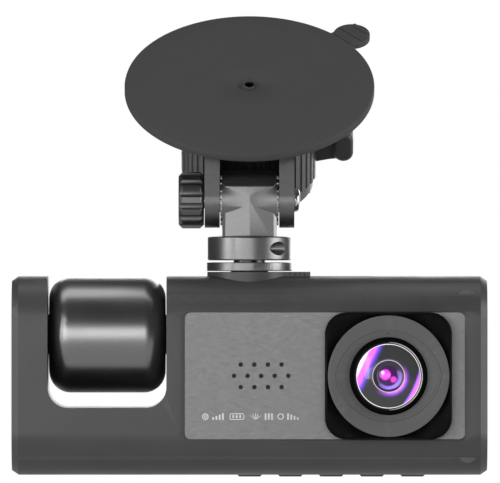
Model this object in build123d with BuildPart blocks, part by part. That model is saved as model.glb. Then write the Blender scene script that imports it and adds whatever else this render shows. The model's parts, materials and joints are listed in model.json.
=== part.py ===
from build123d import *
from math import cos, radians, sin
import os

# Windscreen dash camera: a two-lens camera bar hung from a suction mount.
#
# The frame's origin is the centre of the suction pad's glass face. +X runs along the camera bar,
# -Y is the road side, +Z is up. The bar hangs level while the pad leans back with the windscreen.
# All sizes are millimetres.

# ---- shared allowances ----
overrun = 1.0  # how far a cutting shape runs past what it cuts
embed = 0.1  # how far a raised detail runs into what carries it
fit_clearance = 0.06

# ---- suction cup, measured from the glass: x, u (down the glass) and w (away from the glass) ----
glass_elevation = 55.6  # angle of the pad's normal above the horizon
pad_radius = 29.1
pad_thickness = 2.2
pad_edge = 0.35
pad_boss_radius = 9.0
pad_boss_height = 4.6
pad_boss_lid = 1.5
pad_pocket_clearance = 0.2
dimple_radius = 2.75
dimple_depth = 0.6
dimple_pip_radius = 1.35
tab_out = 3.6  # the tab's centre beyond the pad's edge
tab_overlap = 2.0
tab_neck = 7.3
tab_angle = -43.0
tab_radius = 4.3
tab_depth = 0.7
tab_thickness = 1.4
tab_ridge_pitch = 3.05
tab_ridge_height = 0.45
tab_ridge_width = 0.55
tab_side_ridge = 4.95
tab_middle_ridge = 7.5
skirt_radius = 24.5
skirt_rim = 2.0
skirt_height = 6.2
skirt_top_radius = 17.2
cup_wall = 1.8
lining_rim = 0.8
lining_in = 0.9
lining_step = 0.6
grip_radius = 15.9
grip_end = 23.5
grip_flutes = 48
grip_flute_radius = 0.5
grip_flute_out = 0.15
grip_flute_run_in = 3.0
tail_radius = 15.1
tail_edge = 1.2
cup_end = 27.5
spine_half = 4.8
spine_inset = 0.9
spine_gap = 1.2
spine_top_gap = 0.2
guide_wall = 0.6
guide_gap = 0.5
lever_slot_half = 3.0
slot_margin = 0.8
slot_ramp_start = 2.2
slot_ramp_end = 4.0
slot_drop = 9.3

# ---- cam lever and plunger ----
lever_half = 2.7
lever_pin_w = 21.5
lever_pin_radius = 1.25
cam_radius = 4.0
cam_offset = 1.314
cam_angle = -37.5
cam_clearance = 0.08
lever_outline = [  # x from the pin and height over it, with the lever folded up
    (0.64, 2.6),
    (15.2, -1.6),
    (18.5, -2.3),
    (21.1, -2.6),
    (20.4, -8.1),
    (15.2, -6.9),
    (9.6, -5.3),
    (2.54, -3.9),
]
lever_reach = 21.9
lever_lobe_drop = 6.5
lever_lobe_length = 3.2
lever_lobe_edge = 0.9
lever_lobe_radius = 2.3
lever_lobe_half = 4.5
plunger_radius = 2.9
plunger_travel = 1.6
plunger_flange_radius = 7.1
plunger_flange = 1.5
tongue_half_width = 2.4
tongue_half = 1.0
tongue_height = 6.0
tongue_root = 1.0
tongue_gap = 0.25
tongue_slot_width = 9.2
tongue_slot_height = 16.0
tongue_slot_shift = 1.0

# ---- tilt hinge ----
hinge_u = 23.4
hinge_w = 16.7
ear_radius = 6.4
ear_inside = 6.9
ear_thickness = 3.5
ear_lean = 10.0
ear_root_drop = 5.6
ear_inset = 2.0
bolt_radius = 2.0
bolt_head_radius = 2.7
bolt_head_height = 1.3
bolt_head_edge = 0.95
bolt_end_gap = 0.05
knob_radius = 6.6
knob_length = 5.9
knob_gap = 0.15
knob_teeth = 14
knob_groove_radius = 0.85
knob_groove_out = 0.25
knob_bevel = 0.9
knob_cap = 1.0
knob_bore_gap = 0.3
knob_nut_flats = 6.4
knob_nut_height = 3.0

# ---- arm and swivel, heights measured from the hinge axis ----
barrel_radius = 6.9
barrel_half = 6.35
barrel_relief = 0.02
washer_thickness = 0.4
washer_radius = 5.5
washer_teeth = 16
washer_tooth_radius = 0.35
stem_half = 6.3
stem_ridge = 6.9
stem_facet_edge = 6.2
stem_facet_half = 5.6
stem_back_inset = 0.5
stem_back_corner = 1.2
collar_radius = 9.7
collar_top = -8.5
collar_bottom = -13.95
collar_dome = 0.35
collar_edge = 0.35
journal_radius = 5.6
journal_groove = 5.1
journal_top = -8.5
journal_top_gap = 0.1
journal_step = 0.15
pin_radius = 1.6
pin_offset = 6.87
pin_height = -11.2
pin_start = -4.5
pin_end = 3.6
pin_bevel = 0.3
pin_groove_gap = 0.2
neck_radius = 3.7
disc_radius = 9.9
disc_top = -14.42
disc_thickness = 2.0
disc_edge = 0.2
shoe_gap = 0.2

# ---- camera bar: x, y (front is negative) and z down from the top ----
bar_length = 110.0
bar_height = 46.0
bar_depth = 30.0
front_corner = 10.0
rear_corner = 7.0
end_bevel_x = 1.55
end_bevel_z = 1.04
wall = 2.0
limb_width = 8.3
notch_width = 27.5
notch_depth = 30.4
notch_corner = 4.8

# ---- mount shoe in the top of the bar ----
shoe_radius = 9.8
shoe_proud = 1.0
shoe_tab_end = 14.1
shoe_tab_half = 5.9
shoe_lip_bottom = -0.9
shoe_floor = -2.9
shoe_base = -4.6
shoe_flange = 1.0
shoe_flange_margin = 1.0
foot_half_x = 6.5
foot_half_y = 4.6
foot_neck_half_x = 4.35
foot_neck_half_y = 2.8
foot_corner = 1.0
foot_neck_corner = 1.2
slide_clearance = 0.1
tray_wall = 1.2
thumb_slots = 4
thumb_slot_pitch = 1.15
thumb_slot_width = 0.4
thumb_slot_depth = 0.25
thumb_slot_land = 0.15
thumb_slot_start = 1.2
foot_screw_radius = 1.25
foot_screw_head = 2.4
foot_screw_gap = 0.1
foot_screw_head_gap = 0.05
foot_screw_bite = 3.4
foot_screw_end_gap = 0.2
cross_slot_length = 2.6
cross_slot_width = 0.5
cross_slot_depth = 0.6

# ---- front panel, speaker holes and main lens ----
panel_notch_gap = 4.2
panel_end_gap = 5.2
panel_height = 29.4
panel_corner = 1.4
panel_inset = 0.5
panel_thickness = 0.6
scoop_left = 1.4
scoop_right = 2.2
scoop_edge = 0.5
scoop_depth = 0.3
panel_clearance = 0.05
lens_clearance = 0.1
scoop_corner = 2.6
speaker_from_panel = 17.7
speaker_hole_radius = 0.52
speaker_hole_relief = 0.3
speaker_pitch = 3.14
speaker_row = 2.61
speaker_rows = ((1, 4), (0, 5), (-1, 4))  # row above the middle one, holes in it
lens_from_end = 22.95
block_side = 29.3
block_corner = 5.0
block_proud = 5.0
block_edge = 0.7
bezel_radius = 14.0
bezel_bore = 9.0
bezel_proud = 1.3
bezel_seat = 1.2
bezel_dish = 1.1
bezel_edge = 0.5
barrel_flange_radius = 8.8
barrel_flange = 1.6
barrel_lip = 0.3
barrel_thread_radius = 6.0
barrel_end_gap = 2.4
glass_radius = 7.9
glass_bulge = 2.2
glass_rim = 0.8
glass_seat = 0.6
glass_ledge = 1.2
iris_radius = 3.65
iris_front = 2.4
iris_thickness = 1.2
element_seat = 0.4
element_spans = [(1.8, 2.4), (7.2, 2.8)]  # back face behind the bar's front, thickness

# ---- cabin camera drum ----
drum_z = -13.56
drum_radius = 13.45
drum_gap = 0.25
drum_corner = 5.0
drum_wall = 1.6
pivot_boss_radius = 4.6
pivot_radius = 3.0
pivot_bore = 1.6
pivot_bore_over = 0.5
trunnion_over = 1.4
trunnion_flange = 1.0
trunnion_flange_radius = 5.0
pivot_washer_gap = 0.03
face_radius = 8.7
face_back = 9.0
face_front = 13.6
face_bevel = 0.7
face_room = 4.0
cabin_lens_radius = 4.5
cabin_lens_proud = 0.8
cabin_lens_edge = 0.3
cabin_lens_wall = 1.2
cabin_lens_lip = 1.0
cabin_lens_shoulder = 2.0
cabin_glass_radius = 3.4
cabin_glass_edge = 0.4
cabin_glass_crown = 0.15
cabin_glass_crown_radius = 2.4
cabin_board_back = 6.0
cabin_board_radius = 9.6
cabin_sensor_half = 2.2
cabin_sensor_height = 0.9
cabin_plug_near = 4.0
cabin_plug_far = 8.0
cabin_plug_half = 2.0
cabin_plug_past = 0.8
led_count = 6
led_circle = 6.5
led_radius = 0.95
led_start = 30.0
led_sunk = 0.3

# ---- boards and inner pieces ----
board_front = 3.0
board_thickness = 1.2
board_corner = 0.8
board_notch_gap = 7.2
board_end_gap = 7.0
board_top = -6.0
board_bottom_gap = 8.0
sensor_board_front = -2.2
sensor_board_half = 9.0
sensor_half = 4.2
sensor_height = 1.1
holder_half = 7.5
holder_height = 6.4
holder_corner = 1.0
holder_room_half = 5.2
holder_room_height = 2.0
window_notch_gap = 6.7
window_end_gap = 5.5
window_height = 31.6
window_thickness = 0.8
window_corner = 2.0
display_width = 45.0
display_height = 32.0
display_thickness = 2.4
view_width = 41.0
view_height = 30.4
view_clearance = 0.2
lead_radius = 0.8
lead_start = 8.0
lead_inset = 1.0
lead_plug_length = 4.0
lead_plug_half = 1.8
lead_plug_past = 1.6
sensor_plug_half_x = 3.0
sensor_plug_half_z = 1.4
speaker_radius = 8.0
speaker_thickness = 4.0
speaker_rim = 1.0
speaker_dish = 0.8
speaker_magnet_radius = 4.8
speaker_magnet_height = 1.4
processor = (14.0, 26.0, 2.0, 14.0, 1.2)  # left, right, top, bottom from the board's corner, height
small_chips = [
    (27.5, 32.5, 3.0, 8.0, 0.9),
    (27.5, 32.5, 10.0, 15.0, 0.9),
    (40.0, 45.0, 27.0, 31.0, 1.0),
]
spreader_margin = 1.0
spreader_thickness = 0.8
spreader_corner = 0.6
battery_from_left = 9.0
battery_from_bottom = 2.0
battery_length = 23.0
battery_width = 10.5
battery_thickness = 4.2
battery_corner = 1.5
battery_edge = 1.0
microphone_spot = (5.0, 14.5)
microphone_radius = 2.0
microphone_height = 1.6

# ---- buttons, ports and screws ----
button_count = 5
button_first = 0.05
button_pitch = 9.45
button_width = 5.9
button_depth = 4.0
button_proud = 0.55
button_y = 4.0
button_bevel = 0.5
button_clearance = 0.12
button_flange = 0.8
button_flange_margin = 0.6
button_travel = 0.5
switch_half = 1.8
switch_body = 1.2
switch_stem_half = 0.9
switch_stem = 0.6
switch_gap = 0.1
button_board_margin = 4.0
button_board_front = 1.0
socket_recess = 0.4
port_clearance = 0.15
usb_length = 7.4
usb_half_y = 1.65
usb_half_z = 4.5
jack_half = 3.0
usb_z = -12.0
usb_corner = 1.2
usb_wall = 0.3
usb_back = 1.0
usb_tongue = 0.7
usb_tongue_gap = 1.2
jack_z = -20.0
jack_bore = 1.3
jack_length = 9.0
jack_back = 2.0
card_z = -30.5
card_width = 11.0
card_length = 15.0
card_thickness = 0.8
card_gap = 0.9
card_slack = 0.15
card_end_gap = 0.2
card_notch = 1.5
card_notch_start = 6.5
card_notch_end = 8.0
card_cage_wall = 1.2
card_cage_front = 0.6
screw_top = -7.6
screw_low = -36.0
screw_side = 4.6
screw_half_spread = 17.8
screw_radius = 0.9
screw_head_radius = 1.8
screw_head_height = 0.8
screw_head_seat = 0.4
screw_gap = 0.1
screw_slot_length = 2.2
screw_slot_width = 0.45
screw_slot_depth = 0.5
screw_tip_gap = 1.0
boss_radius = 2.3
screw_run_in = 6.0
board_screw_side = 3.0
board_screw_corner = 3.5
board_screw_radius = 0.8
board_screw_head = 1.6
board_screw_head_height = 0.9
board_screw_length = 5.5
board_hole_end = 1.0
board_screw_gap = 0.1

# ---- derived places ----
rise = sin(radians(glass_elevation))
run = cos(radians(glass_elevation))
cup_plane = Plane(origin=(0, 0, 0), x_dir=(1, 0, 0), z_dir=(0, run, -rise))
lever_plane = Plane(origin=(0, 0, 0), x_dir=(1, 0, 0), z_dir=(0, rise, run))  # x, w
ear_plane = Plane(origin=(0, 0, 0), x_dir=(0, -rise, -run), z_dir=(1, 0, 0))  # u, w
hinge_y = hinge_w * run - hinge_u * rise
hinge_z = -hinge_w * rise - hinge_u * run
disc_bottom = disc_top - disc_thickness
bar_top = disc_bottom - shoe_gap - shoe_proud  # below the hinge axis
arm_plane = Plane(origin=(0, hinge_y, hinge_z))
bar_plane = Plane(origin=(0, hinge_y, hinge_z + bar_top))
front = -bar_depth / 2
back = bar_depth / 2
ear_outside = ear_inside + ear_thickness
cup_base = pad_thickness
skirt_end = cup_base + skirt_rim + skirt_height
tab_reach = pad_radius + tab_out
bar_end = bar_length / 2
notch_left = limb_width - bar_end
notch_right = notch_left + notch_width
notch_half = notch_width / 2
drum_x = notch_left + notch_half
drum_half = notch_half - drum_gap
lens_x = bar_end - lens_from_end
lens_z = -bar_height / 2
panel_left = notch_right + panel_notch_gap
panel_right = bar_end - panel_end_gap
panel_top = lens_z + panel_height / 2
panel_bottom = lens_z - panel_height / 2
speaker_x = panel_left + speaker_from_panel
window_left = notch_right + window_notch_gap
window_right = bar_end - window_end_gap
window_top = lens_z + window_height / 2
window_bottom = lens_z - window_height / 2
display_x = (window_left + window_right) / 2
board_left = notch_right + board_notch_gap
board_right = bar_end - board_end_gap
board_bottom = board_bottom_gap - bar_height
screw_places = [
    (limb_width / 2 - bar_end, screw_top),
    (limb_width / 2 - bar_end, screw_low),
    (notch_right + screw_side, screw_low),
    (bar_end - screw_side, lens_z + screw_half_spread),
    (bar_end - screw_side, lens_z - screw_half_spread),
]
board_screw_places = [
    (board_left + board_screw_corner, board_top - board_screw_side),
    (board_left + board_screw_corner, board_bottom + board_screw_corner),
    (board_right - board_screw_side, board_top - board_screw_side),
]
panel_face = front + panel_inset
panel_seat = panel_face + panel_thickness
block_front = front - block_proud
button_places = [button_first + i * button_pitch for i in range(button_count)]
drum_centre = (drum_x, hinge_y, hinge_z + bar_top + drum_z)
drum_plane = Plane(origin=drum_centre, x_dir=(1, 0, 0), z_dir=(0, -1, 0))
bore_plane = Plane(origin=drum_centre, x_dir=(0, 1, 0), z_dir=(1, 0, 0))


def arm_level(z):
    """A level plane at height z from the hinge axis."""
    return arm_plane.offset(z)


def bar_level(z):
    """A level plane at height z from the top of the bar."""
    return bar_plane.offset(z)


def bar_front(y):
    """An upright plane facing the road at depth y of the bar: local x is X, local y is up."""
    return Plane(
        origin=(0, hinge_y + y, hinge_z + bar_top), x_dir=(1, 0, 0), z_dir=(0, -1, 0)
    )


def bar_across(x):
    """An upright plane across the bar at x: local x is Y, local y is up."""
    return Plane(
        origin=(x, hinge_y, hinge_z + bar_top), x_dir=(0, 1, 0), z_dir=(1, 0, 0)
    )


def finish(piece, label):
    """Labels a finished piece and writes it under that name."""
    piece.part.label = label
    export_step(piece.part, f"parts/{label}.step")


os.makedirs("parts", exist_ok=True)

# ======== suction cup ========

# suction pad: thin rubber disc with a centre dimple, a pull tab and a boss that holds the plunger
pocket_top = cup_base + pad_boss_height - pad_boss_lid
pocket_height = plunger_flange + plunger_travel + 2 * pad_pocket_clearance
tab_root = pad_radius - tab_overlap
with BuildPart() as suction_pad:
    with BuildSketch(cup_plane):
        Circle(pad_radius)
    extrude(amount=pad_thickness)
    fillet(suction_pad.edges().filter_by(GeomType.CIRCLE), pad_edge)
    with BuildSketch(cup_plane.offset(pad_thickness)):
        Circle(pad_boss_radius)
    extrude(amount=pad_boss_height)
    with BuildSketch(cup_plane.offset(tab_depth)):
        with PolarLocations(tab_reach, 1, start_angle=tab_angle):
            Circle(tab_radius)
        with PolarLocations((tab_reach + tab_root) / 2, 1, start_angle=tab_angle):
            Rectangle(tab_reach - tab_root, tab_neck)
    extrude(amount=tab_thickness)
    with BuildSketch(cup_plane.offset(tab_depth - tab_ridge_height)):
        for step, length in ((-1, tab_side_ridge), (0, tab_middle_ridge), (1, tab_side_ridge)):
            with PolarLocations(tab_reach + step * tab_ridge_pitch, 1, start_angle=tab_angle):
                Rectangle(tab_ridge_width, length)
    extrude(amount=tab_ridge_height + embed)
    with BuildSketch(cup_plane):
        Circle(dimple_radius)
        Circle(dimple_pip_radius, mode=Mode.SUBTRACT)
    extrude(amount=dimple_depth, mode=Mode.SUBTRACT)
    with BuildSketch(cup_plane.offset(pocket_top - pocket_height)):
        Circle(plunger_flange_radius + pad_pocket_clearance)
    extrude(amount=pocket_height, mode=Mode.SUBTRACT)
    with BuildSketch(cup_plane.offset(pocket_top)):
        Circle(plunger_radius + 2 * pad_pocket_clearance)
    extrude(amount=pad_boss_height, mode=Mode.SUBTRACT)
finish(suction_pad, "suction_pad")

# plunger: pulls the pad's centre off the glass when the cam lever is folded down
plunger_foot = pocket_top - pad_pocket_clearance - plunger_flange
with BuildPart() as plunger:
    with BuildSketch(cup_plane.offset(plunger_foot)):
        Circle(plunger_flange_radius)
    extrude(amount=plunger_flange)
    with BuildSketch(cup_plane.offset(plunger_foot + plunger_flange)):
        Circle(plunger_radius)
    extrude(amount=lever_pin_w - tongue_height - plunger_foot - plunger_flange)
    with BuildSketch(lever_plane):
        with Locations((0, lever_pin_w - (tongue_height + tongue_root) / 2)):
            Rectangle(2 * tongue_half_width, tongue_height + tongue_root)
        with Locations((0, lever_pin_w)):
            Circle(tongue_half_width)
        with Locations((0, lever_pin_w)):
            Circle(lever_pin_radius + fit_clearance, mode=Mode.SUBTRACT)
    extrude(amount=tongue_half, both=True)
finish(plunger, "plunger")

# cup housing: ribbed bell with a slot for the lever and two hinge ears
ear_tangent_y = hinge_u + ear_radius * (cos(radians(ear_lean)) * rise - sin(radians(ear_lean)) * run)
ear_tangent_w = hinge_w - ear_radius * (cos(radians(ear_lean)) * run + sin(radians(ear_lean)) * rise)
ear_root_w = skirt_end - ear_root_drop
ear_run = (ear_tangent_w - ear_root_w) / (
    cos(radians(ear_lean)) * rise - sin(radians(ear_lean)) * run
)
ear_root_u = ear_tangent_y - ear_run * (
    sin(radians(ear_lean)) * rise + cos(radians(ear_lean)) * run
)
cam_seat = lever_pin_w - cam_radius - cam_offset * sin(radians(-cam_angle)) - cam_clearance
cup_axis = Axis((0, 0, 0), (0, run, -rise))
spine_start = cup_base + pad_boss_height + spine_gap
guide_start = cup_base + pad_boss_height + guide_gap
slot_floor = lever_pin_w - slot_drop
with BuildPart() as cup_housing:
    with BuildSketch(lever_plane):
        with BuildLine():
            Polyline(
                (0, cup_base),
                (skirt_radius, cup_base),
                (skirt_radius, cup_base + skirt_rim),
                (skirt_top_radius, skirt_end),
                (grip_radius, skirt_end),
                (grip_radius, grip_end),
                (tail_radius, grip_end),
                (tail_radius, cup_end),
                (0, cup_end),
                close=True,
            )
        make_face()
    revolve(axis=cup_axis)
    fillet(cup_housing.edges().filter_by(GeomType.CIRCLE).sort_by(cup_axis)[-1:], tail_edge)
    with BuildSketch(cup_plane.offset(skirt_end - grip_flute_run_in)):
        with PolarLocations(grip_radius + grip_flute_out, grip_flutes, start_angle=180 / grip_flutes):
            Circle(grip_flute_radius)
    extrude(amount=grip_end - skirt_end + grip_flute_run_in, mode=Mode.SUBTRACT)
    with BuildSketch(ear_plane.offset(ear_inside)):
        with BuildLine():
            Polyline(
                (hinge_u, hinge_w + ear_radius),
                (tail_radius - ear_inset, hinge_w + ear_radius),
                (tail_radius - ear_inset, ear_root_w),
                (ear_root_u, ear_root_w),
                (ear_tangent_y, ear_tangent_w),
            )
            RadiusArc(
                (ear_tangent_y, ear_tangent_w),
                (hinge_u, hinge_w + ear_radius),
                -ear_radius,
            )
        make_face()
    extrude(amount=ear_thickness)
    mirror(about=Plane.YZ)
    with BuildSketch(lever_plane):
        with BuildLine():
            Polyline(
                (0, cup_base),
                (skirt_radius - cup_wall, cup_base),
                (skirt_radius - cup_wall, cup_base + skirt_rim - lining_rim),
                (skirt_top_radius - cup_wall - lining_in, skirt_end),
                (grip_radius - cup_wall, skirt_end + lining_step),
                (grip_radius - cup_wall, cup_end - cup_wall),
                (0, cup_end - cup_wall),
                close=True,
            )
        make_face()
    revolve(axis=cup_axis, mode=Mode.SUBTRACT)
    with BuildSketch(cup_plane.offset(spine_start)):
        Rectangle(2 * (tail_radius - spine_inset), 2 * spine_half)
    extrude(amount=cup_end - spine_top_gap - spine_start)
    with BuildSketch(cup_plane.offset(guide_start)):
        Circle(spine_half + guide_wall)
    extrude(amount=cam_seat - guide_start)
    with BuildSketch(lever_plane):
        with BuildLine():
            Polyline(
                (-cam_radius - slot_margin, cup_end + overrun),
                (-cam_radius - slot_margin, cam_seat),
                (cam_radius + slot_ramp_start, cam_seat),
                (cam_radius + slot_ramp_end, slot_floor),
                (skirt_radius, slot_floor),
                (skirt_radius, cup_end + overrun),
                close=True,
            )
        make_face()
    extrude(amount=lever_slot_half, both=True, mode=Mode.SUBTRACT)
    with BuildSketch(cup_plane.offset(cup_base)):
        Circle(plunger_radius + fit_clearance)
    extrude(amount=cup_end, mode=Mode.SUBTRACT)
    with BuildSketch(ear_plane.offset(-ear_outside)):
        with Locations((hinge_u, hinge_w)):
            Circle(bolt_radius + fit_clearance)
    extrude(amount=2 * ear_outside, mode=Mode.SUBTRACT)
finish(cup_housing, "cup_housing")

# cam lever: an eccentric hub on the plunger's pin, an arm and a finger lobe at its tip
cam_centre = (
    cam_offset * cos(radians(cam_angle)),
    lever_pin_w + cam_offset * sin(radians(cam_angle)),
)
with BuildPart() as lever_lobe:
    with BuildSketch(lever_plane):
        with Locations((lever_reach, lever_pin_w - lever_lobe_drop)):
            SlotCenterToCenter(lever_lobe_length, 2 * lever_lobe_radius, rotation=90)
    extrude(amount=lever_lobe_half, both=True)
    lobe_ends = lever_lobe.faces().sort_by(Axis((0, 0, 0), (0, rise, run)))
    fillet(lobe_ends[0].edges() + lobe_ends[-1].edges(), lever_lobe_edge)

with BuildPart() as lever:
    with BuildSketch(lever_plane):
        with Locations(cam_centre):
            Circle(cam_radius)
        with BuildLine():
            Polyline(*[(x, lever_pin_w + height) for x, height in lever_outline], close=True)
        make_face()
    extrude(amount=lever_half, both=True)
    add(lever_lobe.part)
    with BuildSketch(lever_plane):
        with Locations((0, lever_pin_w)):
            Circle(lever_pin_radius + fit_clearance)
    extrude(amount=lever_half, both=True, mode=Mode.SUBTRACT)
    with BuildSketch(lever_plane):
        with Locations((-tongue_slot_shift, lever_pin_w - tongue_slot_shift)):
            Rectangle(tongue_slot_width, tongue_slot_height)
    extrude(amount=tongue_half + tongue_gap, both=True, mode=Mode.SUBTRACT)
finish(lever, "lever")

with BuildPart() as lever_pin:
    with BuildSketch(lever_plane):
        with Locations((0, lever_pin_w)):
            Circle(lever_pin_radius)
    extrude(amount=lever_half, both=True)
finish(lever_pin, "lever_pin")

# ======== tilt hinge ========

hinge_plane = Plane(origin=(0, hinge_y, hinge_z), x_dir=(0, 1, 0), z_dir=(1, 0, 0))
knob_inside = ear_outside + knob_gap
with BuildPart() as hinge_bolt:
    with BuildSketch(hinge_plane.offset(ear_outside)):
        Circle(bolt_head_radius)
    extrude(amount=bolt_head_height)
    fillet(hinge_bolt.edges().sort_by(Axis.X)[-1:], bolt_head_edge)
    with BuildSketch(hinge_plane.offset(ear_outside)):
        Circle(bolt_radius)
    extrude(amount=-2 * ear_outside - knob_gap - knob_length + knob_cap + bolt_end_gap)
finish(hinge_bolt, "hinge_bolt")

with BuildPart() as tilt_knob:
    with BuildSketch(hinge_plane.offset(-knob_inside)):
        Circle(knob_radius)
    extrude(amount=-knob_length)
    chamfer(tilt_knob.edges().filter_by(GeomType.CIRCLE), knob_bevel)
    with BuildSketch(hinge_plane.offset(-knob_inside)):
        with PolarLocations(knob_radius + knob_groove_out, knob_teeth, start_angle=180 / knob_teeth):
            Circle(knob_groove_radius)
    extrude(amount=-knob_length, mode=Mode.SUBTRACT)
    with BuildSketch(hinge_plane.offset(-knob_inside)):
        RegularPolygon(knob_nut_flats / 2, 6, major_radius=False)
    extrude(amount=-knob_nut_height, mode=Mode.SUBTRACT)
    with BuildSketch(hinge_plane.offset(-knob_inside)):
        Circle(bolt_radius + knob_bore_gap)
    extrude(amount=knob_cap - knob_length, mode=Mode.SUBTRACT)
finish(tilt_knob, "tilt_knob")

with BuildPart() as knob_nut:
    with BuildSketch(hinge_plane.offset(-knob_inside)):
        RegularPolygon(knob_nut_flats / 2, 6, major_radius=False)
        Circle(bolt_radius + fit_clearance, mode=Mode.SUBTRACT)
    extrude(amount=-knob_nut_height)
finish(knob_nut, "knob_nut")

# toothed friction washers, one each side of the arm's barrel
with BuildPart() as friction_washers:
    with BuildSketch(hinge_plane.offset(barrel_half)):
        Circle(washer_radius)
        with PolarLocations(washer_radius, washer_teeth):
            Circle(washer_tooth_radius)
        Circle(bolt_radius + fit_clearance, mode=Mode.SUBTRACT)
    extrude(amount=washer_thickness)
    mirror(about=Plane.YZ)
finish(friction_washers, "friction_washers")

# ======== arm and swivel ========

# arm: hinge barrel, faceted stem and the collar that houses the swivel journal
stem_outline = [
    (0, -stem_ridge),
    (stem_facet_half, -stem_facet_edge),
    (stem_half, -stem_facet_edge + stem_half - stem_facet_half),
    (stem_half, stem_facet_edge - stem_back_corner),
    (stem_facet_half, stem_facet_edge - stem_back_inset),
    (-stem_facet_half, stem_facet_edge - stem_back_inset),
    (-stem_half, stem_facet_edge - stem_back_corner),
    (-stem_half, -stem_facet_edge + stem_half - stem_facet_half),
    (-stem_facet_half, -stem_facet_edge),
]
with BuildPart() as tilt_arm:
    with BuildSketch(arm_level(collar_top)):
        with BuildLine():
            Polyline(*stem_outline, close=True)
        make_face()
    extrude(amount=barrel_radius - collar_top)
    with BuildSketch(hinge_plane):
        Circle(barrel_radius)
        with Locations((0, collar_top / 2)):
            Rectangle(2 * barrel_radius, -collar_top)
    extrude(amount=barrel_half, both=True, mode=Mode.INTERSECT)
    with BuildSketch(hinge_plane):
        Circle(barrel_radius - barrel_relief)
    extrude(amount=barrel_half, both=True)
    with BuildSketch(Plane(origin=(0, hinge_y, hinge_z), x_dir=(1, 0, 0), z_dir=(0, -1, 0))):
        with BuildLine():
            Polyline(
                (0, collar_bottom),
                (collar_radius, collar_bottom),
                (collar_radius, collar_top),
                (stem_half, collar_top + collar_dome),
                (0, collar_top + collar_dome),
                close=True,
            )
        make_face()
    revolve(axis=Axis((0, hinge_y, hinge_z), (0, 0, 1)))
    round_edges = tilt_arm.edges().filter_by(GeomType.CIRCLE)
    fillet(round_edges.filter_by(lambda e: abs(e.radius - collar_radius) < embed), collar_edge)
    with BuildSketch(hinge_plane.offset(-barrel_half - overrun)):
        Circle(bolt_radius + fit_clearance)
    extrude(amount=2 * (barrel_half + overrun), mode=Mode.SUBTRACT)
    with BuildSketch(arm_level(collar_bottom)):
        Circle(journal_radius + fit_clearance)
    extrude(amount=journal_top + journal_top_gap - collar_bottom, mode=Mode.SUBTRACT)
    with BuildSketch(hinge_plane.offset(pin_start)):
        with Locations((-pin_offset, pin_height)):
            Circle(pin_radius)
    extrude(amount=collar_radius - pin_start, mode=Mode.SUBTRACT)
finish(tilt_arm, "tilt_arm")

with BuildPart() as swivel_pin:
    with BuildSketch(hinge_plane.offset(pin_start)):
        with Locations((-pin_offset, pin_height)):
            Circle(pin_radius)
    extrude(amount=pin_end - pin_start)
    chamfer(swivel_pin.edges().sort_by(Axis.X)[-1:], pin_bevel)
finish(swivel_pin, "swivel_pin")

# swivel disc: grooved journal held by the cross pin, neck and round flange
groove_low = pin_height - pin_radius - pin_groove_gap
groove_high = pin_height + pin_radius + pin_groove_gap
with BuildPart() as swivel_disc:
    with BuildSketch(Plane(origin=(0, hinge_y, hinge_z), x_dir=(1, 0, 0), z_dir=(0, -1, 0))):
        with BuildLine():
            Polyline(
                (0, disc_bottom),
                (disc_radius, disc_bottom),
                (disc_radius, disc_top),
                (neck_radius, disc_top),
                (neck_radius, collar_bottom + journal_step),
                (journal_radius, collar_bottom + journal_step),
                (journal_radius, groove_low),
                (journal_groove, groove_low),
                (journal_groove, groove_high),
                (journal_radius, groove_high),
                (journal_radius, journal_top),
                (0, journal_top),
                close=True,
            )
        make_face()
    revolve(axis=Axis((0, hinge_y, hinge_z), (0, 0, 1)))
    round_edges = swivel_disc.edges().filter_by(GeomType.CIRCLE)
    fillet(round_edges.filter_by(lambda e: abs(e.radius - disc_radius) < embed), disc_edge)
    with BuildSketch(arm_level(disc_bottom)):
        Circle(foot_screw_radius)
    extrude(amount=foot_screw_bite + foot_screw_end_gap, mode=Mode.SUBTRACT)
finish(swivel_disc, "swivel_disc")

# mount foot: oblong neck and T plate that slide in the camera's shoe
foot_top = shoe_lip_bottom - slide_clearance
foot_bottom = shoe_floor + slide_clearance
with BuildPart() as mount_foot:
    with BuildSketch(bar_level(foot_bottom)):
        RectangleRounded(2 * foot_half_x, 2 * foot_half_y, foot_corner)
    extrude(amount=foot_top - foot_bottom)
    with BuildSketch(bar_level(foot_top)):
        RectangleRounded(2 * foot_neck_half_x, 2 * foot_neck_half_y, foot_neck_corner)
    extrude(amount=shoe_proud + shoe_gap - foot_top)
    with BuildSketch(bar_level(foot_bottom)):
        Circle(foot_screw_radius + foot_screw_gap)
    extrude(amount=shoe_proud + shoe_gap - foot_bottom, mode=Mode.SUBTRACT)
    with BuildSketch(bar_level(foot_bottom)):
        Circle(foot_screw_head + foot_screw_head_gap)
    extrude(amount=foot_screw_head - foot_screw_radius, taper=45, mode=Mode.SUBTRACT)
finish(mount_foot, "mount_foot")

with BuildPart() as foot_screw:
    with BuildSketch(bar_level(foot_bottom)):
        Circle(foot_screw_head)
    extrude(amount=foot_screw_head - foot_screw_radius, taper=45)
    with BuildSketch(bar_level(foot_bottom)):
        Circle(foot_screw_radius)
    extrude(amount=shoe_proud + shoe_gap - foot_bottom + foot_screw_bite)
    with BuildSketch(bar_level(foot_bottom)):
        Rectangle(cross_slot_length, cross_slot_width)
        Rectangle(cross_slot_width, cross_slot_length)
    extrude(amount=cross_slot_depth, mode=Mode.SUBTRACT)
finish(foot_screw, "foot_screw")

# ======== camera bar: casing ========


def bar_section(x, inset):
    """Draws the bar's cross-section at x, drawn in from the outside by inset."""
    with BuildSketch(bar_across(x)) as section:
        with Locations((0, -bar_height / 2)):
            Rectangle(bar_depth - 2 * inset, bar_height - 2 * inset)
        fillet(section.vertices().group_by(Axis.X)[0], front_corner - inset)
        fillet(section.vertices().group_by(Axis.X)[-1], rear_corner - inset)
    return section.sketch


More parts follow.
